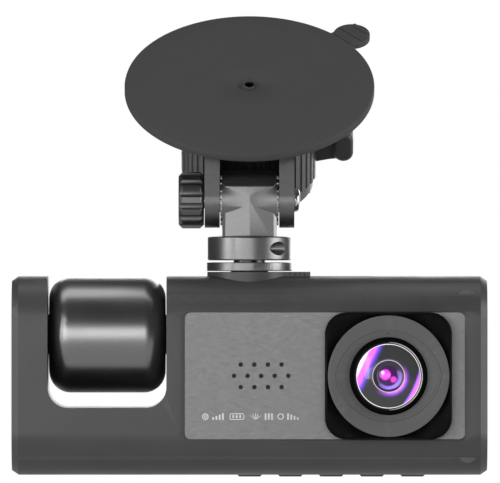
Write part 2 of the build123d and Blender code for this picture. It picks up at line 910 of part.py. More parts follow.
def notch_outline(grow):
    """Draws the drum's notch behind the bar, enlarged by grow."""
    with BuildSketch(bar_front(back + overrun)) as outline:
        with Locations((drum_x, (front_corner - notch_depth - grow) / 2)):
            Rectangle(notch_width + 2 * grow, front_corner + notch_depth + grow)
        fillet(outline.vertices().group_by(Axis.Y)[0], notch_corner + grow)
    return outline.sketch


def front_box(y, left, right, top, bottom, corner=0.0):
    """Draws an upright rectangle facing the road at depth y, with rounded corners."""
    with BuildSketch(bar_front(y)) as outline:
        with Locations(((left + right) / 2, (top + bottom) / 2)):
            Rectangle(right - left, top - bottom)
        if corner > 0:
            fillet(outline.vertices(), corner)
    return outline.sketch


def front_round(y, places, radius):
    """Draws discs facing the road at depth y, one at each (x, z) place."""
    with BuildSketch(bar_front(y)) as discs:
        with Locations(*places):
            Circle(radius)
    return discs.sketch


def top_box(z, left, right, near, far):
    """Draws a level rectangle at height z from the bar's top."""
    with BuildSketch(bar_level(z)) as outline:
        with Locations(((left + right) / 2, (near + far) / 2)):
            Rectangle(right - left, far - near)
    return outline.sketch


def keyhole(z, grow):
    """Draws the mount shoe's outline at height z: a round with a tab on its right."""
    with BuildSketch(bar_level(z)) as outline:
        Circle(shoe_radius + grow)
        with Locations(((shoe_tab_end + grow) / 2, 0)):
            Rectangle(shoe_tab_end + grow, 2 * (shoe_tab_half + grow))
    return outline.sketch


def turned(x, z, outline):
    """Turns an outline of (radius, y) points about the line through (x, z) that faces the road."""
    centre = (x, hinge_y, hinge_z + bar_top + z)
    with BuildSketch(Plane(origin=centre, x_dir=(1, 0, 0), z_dir=(0, 0, 1))) as profile:
        with BuildLine():
            Polyline(*outline, close=True)
        make_face()
    revolve(profile.sketch, axis=Axis(centre, (0, 1, 0)))


def turned_across(outline):
    """Turns an outline of (x, radius) points about the drum's axis."""
    with BuildSketch(drum_plane) as profile:
        with BuildLine():
            Polyline(*outline, close=True)
        make_face()
    revolve(profile.sketch, axis=Axis(drum_centre, (1, 0, 0)))


# the foot drops in at the far end of the shoe's tray and slides to the middle of the round
foot_travel = shoe_tab_end + foot_half_x + 2 * slide_clearance
tray_end = foot_travel + foot_half_x + slide_clearance
tray_half = foot_half_y + slide_clearance + tray_wall
speaker_spots = [
    (speaker_x + (i - (count - 1) / 2) * speaker_pitch, lens_z + row * speaker_row)
    for row, count in speaker_rows
    for i in range(count)
]
drum_spot = (drum_x, drum_z)
lens_spot = (lens_x, lens_z)
end_wall = bar_end - wall
socket_end = bar_end - socket_recess
screw_hole_end = front + screw_run_in
screw_seat = back - wall - screw_head_seat
card_y = board_front - card_gap - card_thickness
floor_top = wall - bar_height
button_inside = floor_top + button_flange

with BuildPart() as cavity:
    extrude(bar_section(wall - bar_end, wall), amount=bar_length - 2 * wall)
    extrude(notch_outline(wall), amount=bar_depth + 2 * overrun, mode=Mode.SUBTRACT)

# both casing halves are cut from one blank with its bosses, openings and bores
with BuildPart() as casing:
    extrude(bar_section(-bar_end, 0), amount=bar_length)
    for end_face in (casing.faces().sort_by(Axis.X)[0], casing.faces().sort_by(Axis.X)[-1]):
        chamfer(end_face.edges(), end_bevel_z, end_bevel_x, reference=end_face)
    extrude(notch_outline(0), amount=bar_depth + 2 * overrun, mode=Mode.SUBTRACT)
    add(cavity.part, mode=Mode.SUBTRACT)
    # bosses run from wall to wall, and the board's posts stand on the back wall
    extrude(
        front_round(back - wall + embed, screw_places, boss_radius),
        amount=bar_depth - 2 * wall + 2 * embed,
    )
    extrude(
        front_round(back - wall + embed, board_screw_places, boss_radius),
        amount=back - wall + embed - board_front - board_thickness,
    )
    # openings for the mount shoe and its tray
    extrude(keyhole(shoe_base, slide_clearance), amount=overrun - shoe_base, mode=Mode.SUBTRACT)
    extrude(
        top_box(
            -wall - overrun,
            0,
            tray_end + tray_wall + slide_clearance,
            -tray_half - slide_clearance,
            tray_half + slide_clearance,
        ),
        amount=wall + 2 * overrun,
        mode=Mode.SUBTRACT,
    )
    # the panel's seat and the sloping border around it
    border_outside = front_box(
        front,
        panel_left - scoop_left,
        panel_right + scoop_right,
        panel_top + scoop_edge,
        panel_bottom - scoop_edge,
        scoop_corner,
    )
    border_inside = front_box(
        front + scoop_depth, panel_left, panel_right, panel_top, panel_bottom, panel_corner
    )
    loft([border_outside, border_inside], mode=Mode.SUBTRACT)
    extrude(
        front_box(panel_seat, panel_left, panel_right, panel_top, panel_bottom, panel_corner),
        amount=panel_seat - front + overrun,
        mode=Mode.SUBTRACT,
    )
    extrude(
        front_round(front + wall + overrun, [lens_spot], barrel_thread_radius + lens_clearance),
        amount=wall + 2 * overrun,
        mode=Mode.SUBTRACT,
    )
    extrude(
        front_round(front + wall + overrun, speaker_spots, speaker_hole_radius + speaker_hole_relief),
        amount=wall + 2 * overrun,
        mode=Mode.SUBTRACT,
    )
    # rear window's seat and the opening behind it
    extrude(
        front_box(
            back + overrun, window_left, window_right, window_top, window_bottom, window_corner
        ),
        amount=overrun + window_thickness,
        mode=Mode.SUBTRACT,
    )
    extrude(
        front_box(
            back + overrun,
            display_x - view_width / 2 - view_clearance,
            display_x + view_width / 2 + view_clearance,
            lens_z + view_height / 2 + view_clearance,
            lens_z - view_height / 2 - view_clearance,
        ),
        amount=wall + 2 * overrun,
        mode=Mode.SUBTRACT,
    )
    # pivot bores for the drum
    with BuildSketch(bore_plane):
        Circle(pivot_radius + fit_clearance)
    extrude(amount=notch_half + wall + pivot_bore_over, both=True, mode=Mode.SUBTRACT)
    # button holes
    with BuildSketch(bar_level(-bar_height - overrun)):
        with Locations(*[(x, button_y) for x in button_places]):
            Rectangle(button_width + 2 * button_clearance, button_depth + 2 * button_clearance)
    extrude(amount=wall + 2 * overrun, mode=Mode.SUBTRACT)
    # sockets in the right end
    with BuildSketch(bar_across(end_wall - overrun)):
        with Locations((board_front - usb_half_y, usb_z)):
            Rectangle(2 * usb_half_y + 2 * port_clearance, 2 * usb_half_z + 2 * port_clearance)
        with Locations((board_front - jack_half, jack_z)):
            Rectangle(2 * jack_half + 2 * port_clearance, 2 * jack_half + 2 * port_clearance)
        with Locations((card_y + card_thickness / 2, card_z)):
            Rectangle(card_thickness + 2 * card_slack, card_width + 2 * card_slack)
    extrude(amount=wall + 2 * overrun, mode=Mode.SUBTRACT)
    # screw holes with sunk heads in the back
    extrude(
        front_round(screw_seat + overrun, screw_places, screw_radius + screw_gap),
        amount=screw_seat + overrun - screw_hole_end,
        mode=Mode.SUBTRACT,
    )
    extrude(
        front_round(back + overrun, screw_places, screw_head_radius + screw_gap),
        amount=back + overrun - screw_seat + screw_head_height,
        mode=Mode.SUBTRACT,
    )
    extrude(
        front_round(back - wall - board_hole_end, board_screw_places, board_screw_radius),
        amount=back - wall - board_hole_end - board_front,
        mode=Mode.SUBTRACT,
    )

with BuildPart() as front_shell:
    add(casing.part)
    split(bisect_by=bar_front(0), keep=Keep.TOP)
finish(front_shell, "front_shell")

with BuildPart() as rear_shell:
    add(casing.part)
    split(bisect_by=bar_front(0), keep=Keep.BOTTOM)
finish(rear_shell, "rear_shell")

with BuildPart() as case_screws:
    extrude(front_round(screw_seat, screw_places, screw_head_radius), amount=screw_head_height)
    extrude(
        front_round(screw_seat, screw_places, screw_radius),
        amount=screw_seat - screw_hole_end - screw_tip_gap,
    )
    with BuildSketch(bar_front(screw_seat)):
        with Locations(*screw_places):
            Rectangle(screw_slot_length, screw_slot_width)
            Rectangle(screw_slot_width, screw_slot_length)
    extrude(amount=screw_slot_depth, mode=Mode.SUBTRACT)
finish(case_screws, "case_screws")

# mount shoe: keyhole plate with a T slot, and the tray where the foot drops in
with BuildPart() as shoe_rim:
    extrude(
        keyhole(shoe_base, shoe_flange),
        amount=-wall - shoe_flange_margin - shoe_base,
    )
    add(cavity.part, mode=Mode.INTERSECT)

with BuildPart() as mount_shoe:
    extrude(keyhole(shoe_base, 0), amount=shoe_proud - shoe_base)
    add(shoe_rim.part)
    extrude(top_box(shoe_base, 0, tray_end + tray_wall, -tray_half, tray_half), amount=-shoe_base)
    extrude(
        top_box(
            shoe_floor,
            -foot_half_x - slide_clearance,
            tray_end,
            -foot_half_y - slide_clearance,
            foot_half_y + slide_clearance,
        ),
        amount=shoe_lip_bottom - shoe_floor,
        mode=Mode.SUBTRACT,
    )
    extrude(
        top_box(
            shoe_floor,
            -foot_neck_half_x - slide_clearance,
            tray_end,
            -foot_neck_half_y - slide_clearance,
            foot_neck_half_y + slide_clearance,
        ),
        amount=shoe_proud - shoe_floor + overrun,
        mode=Mode.SUBTRACT,
    )
    extrude(
        top_box(
            shoe_floor,
            shoe_tab_end,
            tray_end,
            -foot_half_y - slide_clearance,
            foot_half_y + slide_clearance,
        ),
        amount=shoe_proud - shoe_floor + overrun,
        mode=Mode.SUBTRACT,
    )
    with BuildSketch(bar_level(thumb_slot_land)):
        for i in range(thumb_slots):
            with Locations((shoe_tab_end - thumb_slot_start - i * thumb_slot_pitch, -shoe_tab_half)):
                Rectangle(thumb_slot_width, 2 * thumb_slot_depth)
    extrude(amount=shoe_proud - 2 * thumb_slot_land, mode=Mode.SUBTRACT)
finish(mount_shoe, "mount_shoe")

# ======== front panel and main lens ========

with BuildPart() as front_panel:
    extrude(
        front_box(
            panel_seat,
            panel_left + panel_clearance,
            panel_right - panel_clearance,
            panel_top - panel_clearance,
            panel_bottom + panel_clearance,
            panel_corner - panel_clearance,
        ),
        amount=panel_thickness,
    )
    extrude(
        front_round(panel_seat, speaker_spots, speaker_hole_radius),
        amount=panel_thickness,
        mode=Mode.SUBTRACT,
    )
    extrude(
        front_round(panel_seat, [lens_spot], barrel_thread_radius + lens_clearance),
        amount=panel_thickness,
        mode=Mode.SUBTRACT,
    )
finish(front_panel, "front_panel")

flange_back = block_front + bezel_seat + barrel_flange
with BuildPart() as lens_block:
    extrude(
        front_box(
            panel_face,
            lens_x - block_side / 2,
            lens_x + block_side / 2,
            lens_z + block_side / 2,
            lens_z - block_side / 2,
            block_corner,
        ),
        amount=panel_face - block_front,
    )
    fillet(lens_block.faces().sort_by(Axis.Y)[0].edges(), block_edge)
    extrude(
        front_round(block_front + bezel_seat, [lens_spot], bezel_radius + lens_clearance),
        amount=bezel_seat + overrun,
        mode=Mode.SUBTRACT,
    )
    extrude(
        front_round(flange_back, [lens_spot], bezel_bore + lens_clearance),
        amount=flange_back - block_front + overrun,
        mode=Mode.SUBTRACT,
    )
    extrude(
        front_round(panel_face, [lens_spot], barrel_thread_radius + lens_clearance),
        amount=panel_face - block_front + overrun,
        mode=Mode.SUBTRACT,
    )
finish(lens_block, "lens_block")

bezel_front = block_front - bezel_proud
with BuildPart() as lens_bezel:
    turned(
        lens_x,
        lens_z,
        [
            (bezel_bore, block_front + bezel_seat),
            (bezel_radius, block_front + bezel_seat),
            (bezel_radius, bezel_front + bezel_edge),
            (bezel_radius - bezel_edge, bezel_front),
            (bezel_bore, bezel_front + bezel_dish),
        ],
    )
finish(lens_bezel, "lens_bezel")

glass_back = block_front + glass_seat
element_radius = iris_radius + element_seat
barrel_end = sensor_board_front - barrel_end_gap
with BuildPart() as lens_barrel:
    turned(
        lens_x,
        lens_z,
        [
            (glass_radius + fit_clearance, bezel_front + barrel_lip),
            (barrel_flange_radius - barrel_lip, bezel_front + barrel_lip),
            (barrel_flange_radius, bezel_front + 2 * barrel_lip),
            (barrel_flange_radius, flange_back),
            (barrel_thread_radius, flange_back),
            (barrel_thread_radius, barrel_end),
            (element_radius, barrel_end),
            (element_radius, front - iris_front + iris_thickness),
            (iris_radius, front - iris_front + iris_thickness),
            (iris_radius, front - iris_front),
            (glass_radius - glass_ledge, glass_back),
            (glass_radius + fit_clearance, glass_back),
        ],
    )
finish(lens_barrel, "lens_barrel")

glass_edge = glass_back - glass_rim
lens_centre = (lens_x, hinge_y, hinge_z + bar_top + lens_z)
glass_sphere = (glass_radius**2 + glass_bulge**2) / (2 * glass_bulge)
with BuildPart() as front_glass:
    with BuildSketch(Plane(origin=lens_centre, x_dir=(1, 0, 0), z_dir=(0, 0, 1))):
        with BuildLine():
            Polyline(
                (0, glass_edge - glass_bulge),
                (0, glass_back),
                (glass_radius, glass_back),
                (glass_radius, glass_edge),
            )
            RadiusArc((glass_radius, glass_edge), (0, glass_edge - glass_bulge), glass_sphere)
        make_face()
    revolve(axis=Axis(lens_centre, (0, 1, 0)))
finish(front_glass, "front_glass")

with BuildPart() as lens_elements:
    for behind, thickness in element_spans:
        extrude(
            front_round(front + behind, [lens_spot], element_radius - fit_clearance),
            amount=thickness,
        )
finish(lens_elements, "lens_elements")


def lens_square(y, half, corner=0.0):
    """Draws a square facing the road at depth y, centred on the lens."""
    return front_box(y, lens_x - half, lens_x + half, lens_z + half, lens_z - half, corner)


with BuildPart() as lens_holder:
    extrude(lens_square(sensor_board_front, holder_half, holder_corner), amount=holder_height)
    extrude(
        lens_square(sensor_board_front, holder_room_half),
        amount=holder_room_height,
        mode=Mode.SUBTRACT,
    )
    extrude(
        front_round(sensor_board_front, [lens_spot], barrel_thread_radius + fit_clearance),
        amount=holder_height,
        mode=Mode.SUBTRACT,
    )
finish(lens_holder, "lens_holder")

with BuildPart() as image_sensor:
    extrude(lens_square(sensor_board_front, sensor_half), amount=sensor_height)
finish(image_sensor, "image_sensor")

with BuildPart() as sensor_board:
    extrude(
        lens_square(sensor_board_front + board_thickness, sensor_board_half, board_corner),
        amount=board_thickness,
    )
finish(sensor_board, "sensor_board")

# ======== boards, display and power ========

with BuildPart() as main_board:
    extrude(
        front_box(
            board_front + board_thickness,
            board_left,
            board_right,
            board_top,
            board_bottom,
            board_corner,
        ),
        amount=board_thickness,
    )
    extrude(
        front_round(board_front + board_thickness, board_screw_places, board_screw_radius + board_screw_gap),
        amount=board_thickness,
        mode=Mode.SUBTRACT,
    )
finish(main_board, "main_board")

with BuildPart() as board_screws:
    extrude(
        front_round(board_front, board_screw_places, board_screw_head),
        amount=board_screw_head_height,
    )
    extrude(
        front_round(board_front + board_screw_length, board_screw_places, board_screw_radius),
        amount=board_screw_length,
    )
finish(board_screws, "board_screws")


def on_board(y, left, right, top, bottom, corner=0.0):
    """Draws a rectangle facing the road at depth y, placed from the main board's top left corner."""
    return front_box(
        y, board_left + left, board_left + right, board_top - top, board_top - bottom, corner
    )


with BuildPart() as board_chips:
    for *edges, height in [processor] + small_chips:
        extrude(on_board(board_front, *edges), amount=height)
finish(board_chips, "board_chips")

chip_left, chip_right, chip_top, chip_bottom, chip_height = processor
with BuildPart() as heat_spreader:
    extrude(
        on_board(
            board_front - chip_height,
            chip_left - spreader_margin,
            chip_right + spreader_margin,
            chip_top - spreader_margin,
            chip_bottom + spreader_margin,
            spreader_corner,
        ),
        amount=spreader_thickness,
    )
finish(heat_spreader, "heat_spreader")

battery_left = board_left + battery_from_left
battery_low = board_bottom + battery_from_bottom
with BuildPart() as backup_battery:
    extrude(
        front_box(
            board_front,
            battery_left,
            battery_left + battery_length,
            battery_low + battery_width,
            battery_low,
            battery_corner,
        ),
        amount=battery_thickness,
    )
    fillet(backup_battery.faces().sort_by(Axis.Y)[0].edges(), battery_edge)
finish(backup_battery, "backup_battery")

microphone_place = (board_left + microphone_spot[0], board_top - microphone_spot[1])
with BuildPart() as microphone:
    extrude(front_round(board_front, [microphone_place], microphone_radius), amount=microphone_height)
finish(microphone, "microphone")

# plug blocks: one from the sensor board, one for the cabin camera's lead
lead_end = board_left + lead_inset
with BuildPart() as board_plugs:
    extrude(
        front_box(
            board_front,
            lens_x - sensor_plug_half_x,
            lens_x + sensor_plug_half_x,
            lens_z + sensor_plug_half_z,
            lens_z - sensor_plug_half_z,
        ),
        amount=board_front - sensor_board_front - board_thickness,
    )
    extrude(
        front_box(
            board_front,
            lead_end,
            lead_end + lead_plug_length,
            drum_z + lead_plug_half,
            drum_z - lead_plug_half,
        ),
        amount=board_front + lead_plug_past,
    )
finish(board_plugs, "board_plugs")

with BuildPart() as speaker:
    extrude(
        front_round(front + wall + speaker_thickness, [(speaker_x, lens_z)], speaker_radius),
        amount=speaker_thickness,
    )
    extrude(
        front_round(
            front + wall + speaker_thickness + speaker_magnet_height,
            [(speaker_x, lens_z)],
            speaker_magnet_radius,
        ),
        amount=speaker_magnet_height,
    )
    extrude(
        front_round(
            front + wall + speaker_dish, [(speaker_x, lens_z)], speaker_radius - speaker_rim
        ),
        amount=speaker_dish,
        mode=Mode.SUBTRACT,
    )
finish(speaker, "speaker")

with BuildPart() as display_module:
    extrude(
        front_box(
            back - wall,
            display_x - display_width / 2,
            display_x + display_width / 2,
            lens_z + display_height / 2,
            lens_z - display_height / 2,
        ),
        amount=display_thickness,
    )
    extrude(
        front_box(
            back - window_thickness,
            display_x - view_width / 2,
            display_x + view_width / 2,
            lens_z + view_height / 2,
            lens_z - view_height / 2,
        ),
        amount=wall - window_thickness,
    )
finish(display_module, "display_module")

with BuildPart() as display_window:
    extrude(
        front_box(
            back,
            window_left + panel_clearance,
            window_right - panel_clearance,
            window_top - panel_clearance,
            window_bottom + panel_clearance,
            window_corner - panel_clearance,
        ),
        amount=window_thickness,
    )
finish(display_window, "display_window")

# ======== sockets and memory card ========

usb_spot = (board_front - usb_half_y, usb_z)
with BuildPart() as usb_socket:
    with BuildSketch(bar_across(socket_end - usb_length)):
        with Locations(usb_spot):
            RectangleRounded(2 * usb_half_y, 2 * usb_half_z, usb_corner)
    extrude(amount=usb_length)
    with BuildSketch(bar_across(socket_end - usb_length + usb_back)):
        with Locations(usb_spot):
            RectangleRounded(
                2 * (usb_half_y - usb_wall), 2 * (usb_half_z - usb_wall), usb_corner - usb_wall
            )
            Rectangle(usb_tongue, 2 * (usb_half_z - usb_tongue_gap), mode=Mode.SUBTRACT)
    extrude(amount=usb_length, mode=Mode.SUBTRACT)
finish(usb_socket, "usb_socket")

jack_spot = (board_front - jack_half, jack_z)
with BuildPart() as rear_camera_jack:
    with BuildSketch(bar_across(socket_end - jack_length - jack_back)):
        with Locations(jack_spot):
            Rectangle(2 * jack_half, 2 * jack_half)
    extrude(amount=jack_length + jack_back)
    with BuildSketch(bar_across(socket_end - jack_length)):
        with Locations(jack_spot):
            Circle(jack_bore)
    extrude(amount=jack_length, mode=Mode.SUBTRACT)
finish(rear_camera_jack, "rear_camera_jack")

card_start = socket_end - card_length
with BuildPart() as card_socket:
    with BuildSketch(bar_across(card_start - card_cage_wall)):
        with Locations(((card_y - card_cage_front + board_front) / 2, card_z)):
            Rectangle(board_front - card_y + card_cage_front, card_width + 2 * card_cage_wall)
    extrude(amount=end_wall - card_start + card_cage_wall)
    with BuildSketch(bar_across(card_start - card_end_gap)):
        with Locations((card_y + card_thickness / 2, card_z)):
            Rectangle(card_thickness + 2 * card_slack, card_width + 2 * card_slack)
    extrude(amount=card_length, mode=Mode.SUBTRACT)
finish(card_socket, "card_socket")

with BuildPart() as memory_card:
    with BuildSketch(bar_front(card_y + card_thickness)):
        with BuildLine():
            Polyline(
                (card_start, card_z + card_width / 2 - card_notch),
                (card_start + card_notch_start, card_z + card_width / 2 - card_notch),
                (card_start + card_notch_end, card_z + card_width / 2),
                (socket_end, card_z + card_width / 2),
                (socket_end, card_z - card_width / 2),
                (card_start, card_z - card_width / 2),
                close=True,
            )
        make_face()
    extrude(amount=card_thickness)
finish(memory_card, "memory_card")

# ======== buttons ========

switch_top = button_inside + button_travel + switch_gap
for index, x in enumerate(button_places):
    with BuildPart() as button:
        with BuildSketch(bar_front(button_y + button_depth / 2)):
            with BuildLine():
                Polyline(
                    (x - button_width / 2 + button_bevel, -bar_height - button_proud),
                    (x + button_width / 2 - button_bevel, -bar_height - button_proud),
                    (x + button_width / 2, -bar_height),
                    (x + button_width / 2, floor_top + fit_clearance),
                    (x - button_width / 2, floor_top + fit_clearance),
                    (x - button_width / 2, -bar_height),
                    close=True,
                )
            make_face()
        extrude(amount=button_depth)
        extrude(
            top_box(
                floor_top + fit_clearance,
                x - button_width / 2 - button_flange_margin,
                x + button_width / 2 + button_flange_margin,
                button_y - button_depth / 2 - button_flange_margin,
                button_y + button_depth / 2 + button_flange_margin,
            ),
            amount=button_flange - fit_clearance,
        )
    finish(button, f"button_{index + 1}")


def over_button(z, x, half):
    """Draws a level square of the given half width at height z, over the button at x."""
    return top_box(z, x - half, x + half, button_y - half, button_y + half)


with BuildPart() as button_switches:
    for x in button_places:
        extrude(over_button(switch_top, x, switch_stem_half), amount=switch_stem)
        extrude(over_button(switch_top + switch_stem, x, switch_half), amount=switch_body)
finish(button_switches, "button_switches")

with BuildPart() as button_board:
    extrude(
        top_box(
            switch_top + switch_stem + switch_body,
            button_places[0] - button_board_margin,
            button_places[-1] + button_board_margin,
            button_board_front,
            button_y + button_board_margin,
        ),
        amount=board_thickness,
    )
finish(button_board, "button_board")

# ======== cabin camera drum ========

drum_inside = drum_half - drum_wall
with BuildPart() as drum_blank:
    with BuildSketch(bore_plane.offset(-drum_half)):
        Circle(drum_radius)
    extrude(amount=2 * drum_half)
    fillet(drum_blank.edges().filter_by(GeomType.CIRCLE), drum_corner)
    offset(amount=-drum_wall, kind=Kind.INTERSECTION, mode=Mode.SUBTRACT)
    with BuildSketch(bore_plane.offset(-drum_half)):
        Circle(pivot_radius)
    extrude(amount=2 * drum_half, mode=Mode.SUBTRACT)
    extrude(
        front_round(drum_radius + overrun, [drum_spot], face_radius + panel_clearance),
        amount=drum_radius + overrun - face_back + face_room,
        mode=Mode.SUBTRACT,
    )

with BuildPart() as drum_front:
    add(drum_blank.part)
    split(bisect_by=bar_front(0), keep=Keep.TOP)
finish(drum_front, "drum_front")

with BuildPart() as drum_rear:
    add(drum_blank.part)
    split(bisect_by=bar_front(0), keep=Keep.BOTTOM)
finish(drum_rear, "drum_rear")

# hollow trunnions: flanged inside the drum, each turning in a bore of the notch wall
shaft_end = notch_half + wall + trunnion_over
with BuildPart() as drum_trunnions:
    turned_across(
        [
            (drum_inside - trunnion_flange, pivot_bore),
            (drum_inside - trunnion_flange, trunnion_flange_radius),
            (drum_inside, trunnion_flange_radius),
            (drum_inside, pivot_radius),
            (shaft_end, pivot_radius),
            (shaft_end, pivot_bore),
        ]
    )
    mirror(about=Plane.YZ.offset(drum_x))
finish(drum_trunnions, "drum_trunnions")

washer_out = notch_half - pivot_washer_gap
with BuildPart() as pivot_washers:
    turned_across(
        [
            (drum_half, pivot_radius + fit_clearance),
            (drum_half, pivot_boss_radius),
            (washer_out, pivot_boss_radius),
            (washer_out, pivot_radius + fit_clearance),
        ]
    )
    mirror(about=Plane.YZ.offset(drum_x))
finish(pivot_washers, "pivot_washers")

with BuildPart() as cabin_face:
    extrude(front_round(face_front, [drum_spot], face_radius), amount=face_front - face_back)
    chamfer(cabin_face.faces().sort_by(Axis.Y)[-1].edges(), face_bevel)
    extrude(
        front_round(face_front + overrun, [drum_spot], cabin_lens_radius + fit_clearance),
        amount=face_front - face_back + overrun,
        mode=Mode.SUBTRACT,
    )
    with BuildSketch(bar_front(face_front + overrun)):
        with Locations(drum_spot):
            with PolarLocations(led_circle, led_count, start_angle=led_start):
                Circle(led_radius + fit_clearance)
    extrude(amount=face_front - face_back + overrun, mode=Mode.SUBTRACT)
finish(cabin_face, "cabin_face")

cabin_front = face_front + cabin_lens_proud
with BuildPart() as cabin_barrel:
    turned(
        drum_x,
        drum_z,
        [
            (cabin_glass_radius, cabin_front),
            (cabin_lens_radius - cabin_lens_edge, cabin_front),
            (cabin_lens_radius, cabin_front - cabin_lens_edge),
            (cabin_lens_radius, cabin_board_back),
            (cabin_lens_radius - cabin_lens_wall, cabin_board_back),
            (cabin_lens_radius - cabin_lens_wall, cabin_front - cabin_lens_shoulder),
            (cabin_glass_radius, cabin_front - cabin_lens_lip),
        ],
    )
finish(cabin_barrel, "cabin_barrel")

with BuildPart() as cabin_glass:
    turned(
        drum_x,
        drum_z,
        [
            (0, cabin_front - cabin_lens_lip),
            (cabin_glass_radius - fit_clearance, cabin_front - cabin_lens_lip),
            (cabin_glass_radius - fit_clearance, cabin_front - cabin_glass_edge),
            (cabin_glass_crown_radius, cabin_front - cabin_glass_crown),
            (0, cabin_front),
        ],
    )
finish(cabin_glass, "cabin_glass")

with BuildPart() as cabin_leds:
    with BuildSketch(bar_front(face_front - led_sunk)):
        with Locations(drum_spot):
            with PolarLocations(led_circle, led_count, start_angle=led_start):
                Circle(led_radius)
    extrude(amount=face_front - led_sunk - cabin_board_back)
finish(cabin_leds, "cabin_leds")

board_face = cabin_board_back - board_thickness
with BuildPart() as cabin_board:
    extrude(front_round(cabin_board_back, [drum_spot], cabin_board_radius), amount=board_thickness)
    extrude(
        front_box(
            cabin_board_back + cabin_sensor_height,
            drum_x - cabin_sensor_half,
            drum_x + cabin_sensor_half,
            drum_z + cabin_sensor_half,
            drum_z - cabin_sensor_half,
        ),
        amount=cabin_sensor_height,
    )
    extrude(
        front_box(
            board_face,
            drum_x + cabin_plug_near,
            drum_x + cabin_plug_far,
            drum_z + cabin_plug_half,
            drum_z - cabin_plug_half,
        ),
        amount=board_face + cabin_plug_past,
    )
finish(cabin_board, "cabin_board")

# coaxial lead from the drum's board to the main board, through the right-hand trunnion
with BuildPart() as cabin_lead:
    with BuildSketch(bore_plane.offset(lead_start)):
        Circle(lead_radius)
    extrude(amount=lead_end - drum_x - lead_start)
finish(cabin_lead, "cabin_lead")
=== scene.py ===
import json
import math

import bmesh
import bpy
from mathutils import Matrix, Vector


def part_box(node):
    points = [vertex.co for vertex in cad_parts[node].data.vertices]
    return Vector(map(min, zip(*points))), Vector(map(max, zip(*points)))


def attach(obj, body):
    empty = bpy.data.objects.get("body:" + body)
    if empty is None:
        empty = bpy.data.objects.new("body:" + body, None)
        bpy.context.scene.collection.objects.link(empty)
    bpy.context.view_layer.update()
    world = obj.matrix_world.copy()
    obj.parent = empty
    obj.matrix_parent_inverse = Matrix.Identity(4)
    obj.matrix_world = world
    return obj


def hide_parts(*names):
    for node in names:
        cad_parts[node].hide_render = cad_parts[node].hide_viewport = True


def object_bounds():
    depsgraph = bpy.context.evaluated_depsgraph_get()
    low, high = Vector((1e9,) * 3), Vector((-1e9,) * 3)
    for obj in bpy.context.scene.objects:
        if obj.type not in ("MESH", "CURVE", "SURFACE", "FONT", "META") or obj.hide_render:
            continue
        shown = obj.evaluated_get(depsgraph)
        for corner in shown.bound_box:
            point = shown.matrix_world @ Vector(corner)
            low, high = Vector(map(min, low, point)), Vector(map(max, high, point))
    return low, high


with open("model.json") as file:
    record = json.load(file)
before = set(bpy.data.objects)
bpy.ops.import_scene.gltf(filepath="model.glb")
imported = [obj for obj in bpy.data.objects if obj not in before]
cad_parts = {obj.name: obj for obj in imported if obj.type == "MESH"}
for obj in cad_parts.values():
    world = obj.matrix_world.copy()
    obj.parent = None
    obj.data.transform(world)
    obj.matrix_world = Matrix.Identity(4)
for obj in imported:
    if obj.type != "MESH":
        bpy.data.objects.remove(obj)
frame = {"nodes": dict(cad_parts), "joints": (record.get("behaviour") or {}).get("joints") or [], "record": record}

cadLow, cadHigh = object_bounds()
nodes = frame["nodes"]
record = frame["record"]
slotOf = {p["node"]: p["material_slot"] for p in record["subparts"]}
bodyOf = {n: b for b, members in record["behaviour"]["bodies"].items() for n in members}
mm = 0.001
turn = math.radians
toRoad = turn(90)  # leans a piece from its own Z axis to face the road
weld = {"cad": 0.002 * mm, "turned": 0.0005 * mm}  # points nearer than this are merged
flatAngle = turn(0.5)  # faces that differ by less than this are joined
print("frame loaded:", len(nodes), "nodes")


def middle(name):
    low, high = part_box(name)
    return (low + high) / 2


hingePoint = Vector(next(j for j in frame["joints"] if j["name"] == "tilt")["pos_m"])
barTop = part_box("front_shell")[1].z
lensPoint = Vector((middle("lens_bezel").x, hingePoint.y, middle("lens_bezel").z))
padElevation = 55.6  # degrees, the pad's normal above level
glassLean = turn(90 - padElevation)


def clearSelection():
    if bpy.context.object and bpy.context.object.mode != "OBJECT":
        bpy.ops.object.mode_set(mode="OBJECT")
    bpy.ops.object.select_all(action="DESELECT")


def choose(piece):
    clearSelection()
    piece.select_set(True)
    bpy.context.view_layer.objects.active = piece


def useModifier(piece, kind, **settings):
    choose(piece)
    modifier = piece.modifiers.new(kind.lower(), kind)
    for key, value in settings.items():
        setattr(modifier, key, value)
    bpy.ops.object.modifier_apply(modifier=modifier.name)


def roundEdges(piece, width, parts=2, angle=30):
    useModifier(piece, "BEVEL", width=width, segments=parts, limit_method="ANGLE",
                angle_limit=turn(angle), use_clamp_overlap=True, miter_outer="MITER_ARC")


def smooth(piece, angle=35):
    choose(piece)
    bpy.ops.object.shade_smooth_by_angle(angle=turn(angle))


def settle(piece, material, body, slot, *stands):
    choose(piece)
    bpy.ops.object.transform_apply(location=True, rotation=True, scale=True)
    piece.data.materials.clear()
    piece.data.materials.append(material)
    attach(piece, body)
    if stands:
        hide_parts(*stands)


def refine(node, name, material, width, shade):
    # a CAD node's mesh, welded, with its edges rounded by width where it has one
    mesh = nodes[node].data.copy()
    mesh.name = name
    piece = bpy.data.objects.new(name, mesh)
    bpy.context.scene.collection.objects.link(piece)
    choose(piece)
    bpy.ops.object.mode_set(mode="EDIT")
    bpy.ops.mesh.select_all(action="SELECT")
    bpy.ops.mesh.remove_doubles(threshold=weld["cad"])
    if width:
        bpy.ops.mesh.dissolve_limited(angle_limit=flatAngle)
    bpy.ops.object.mode_set(mode="OBJECT")
    if width:
        roundEdges(piece, width)
    smooth(piece, shade)
    useModifier(piece, "WEIGHTED_NORMAL", keep_sharp=True)
    settle(piece, material, bodyOf[node], slotOf[node], node)


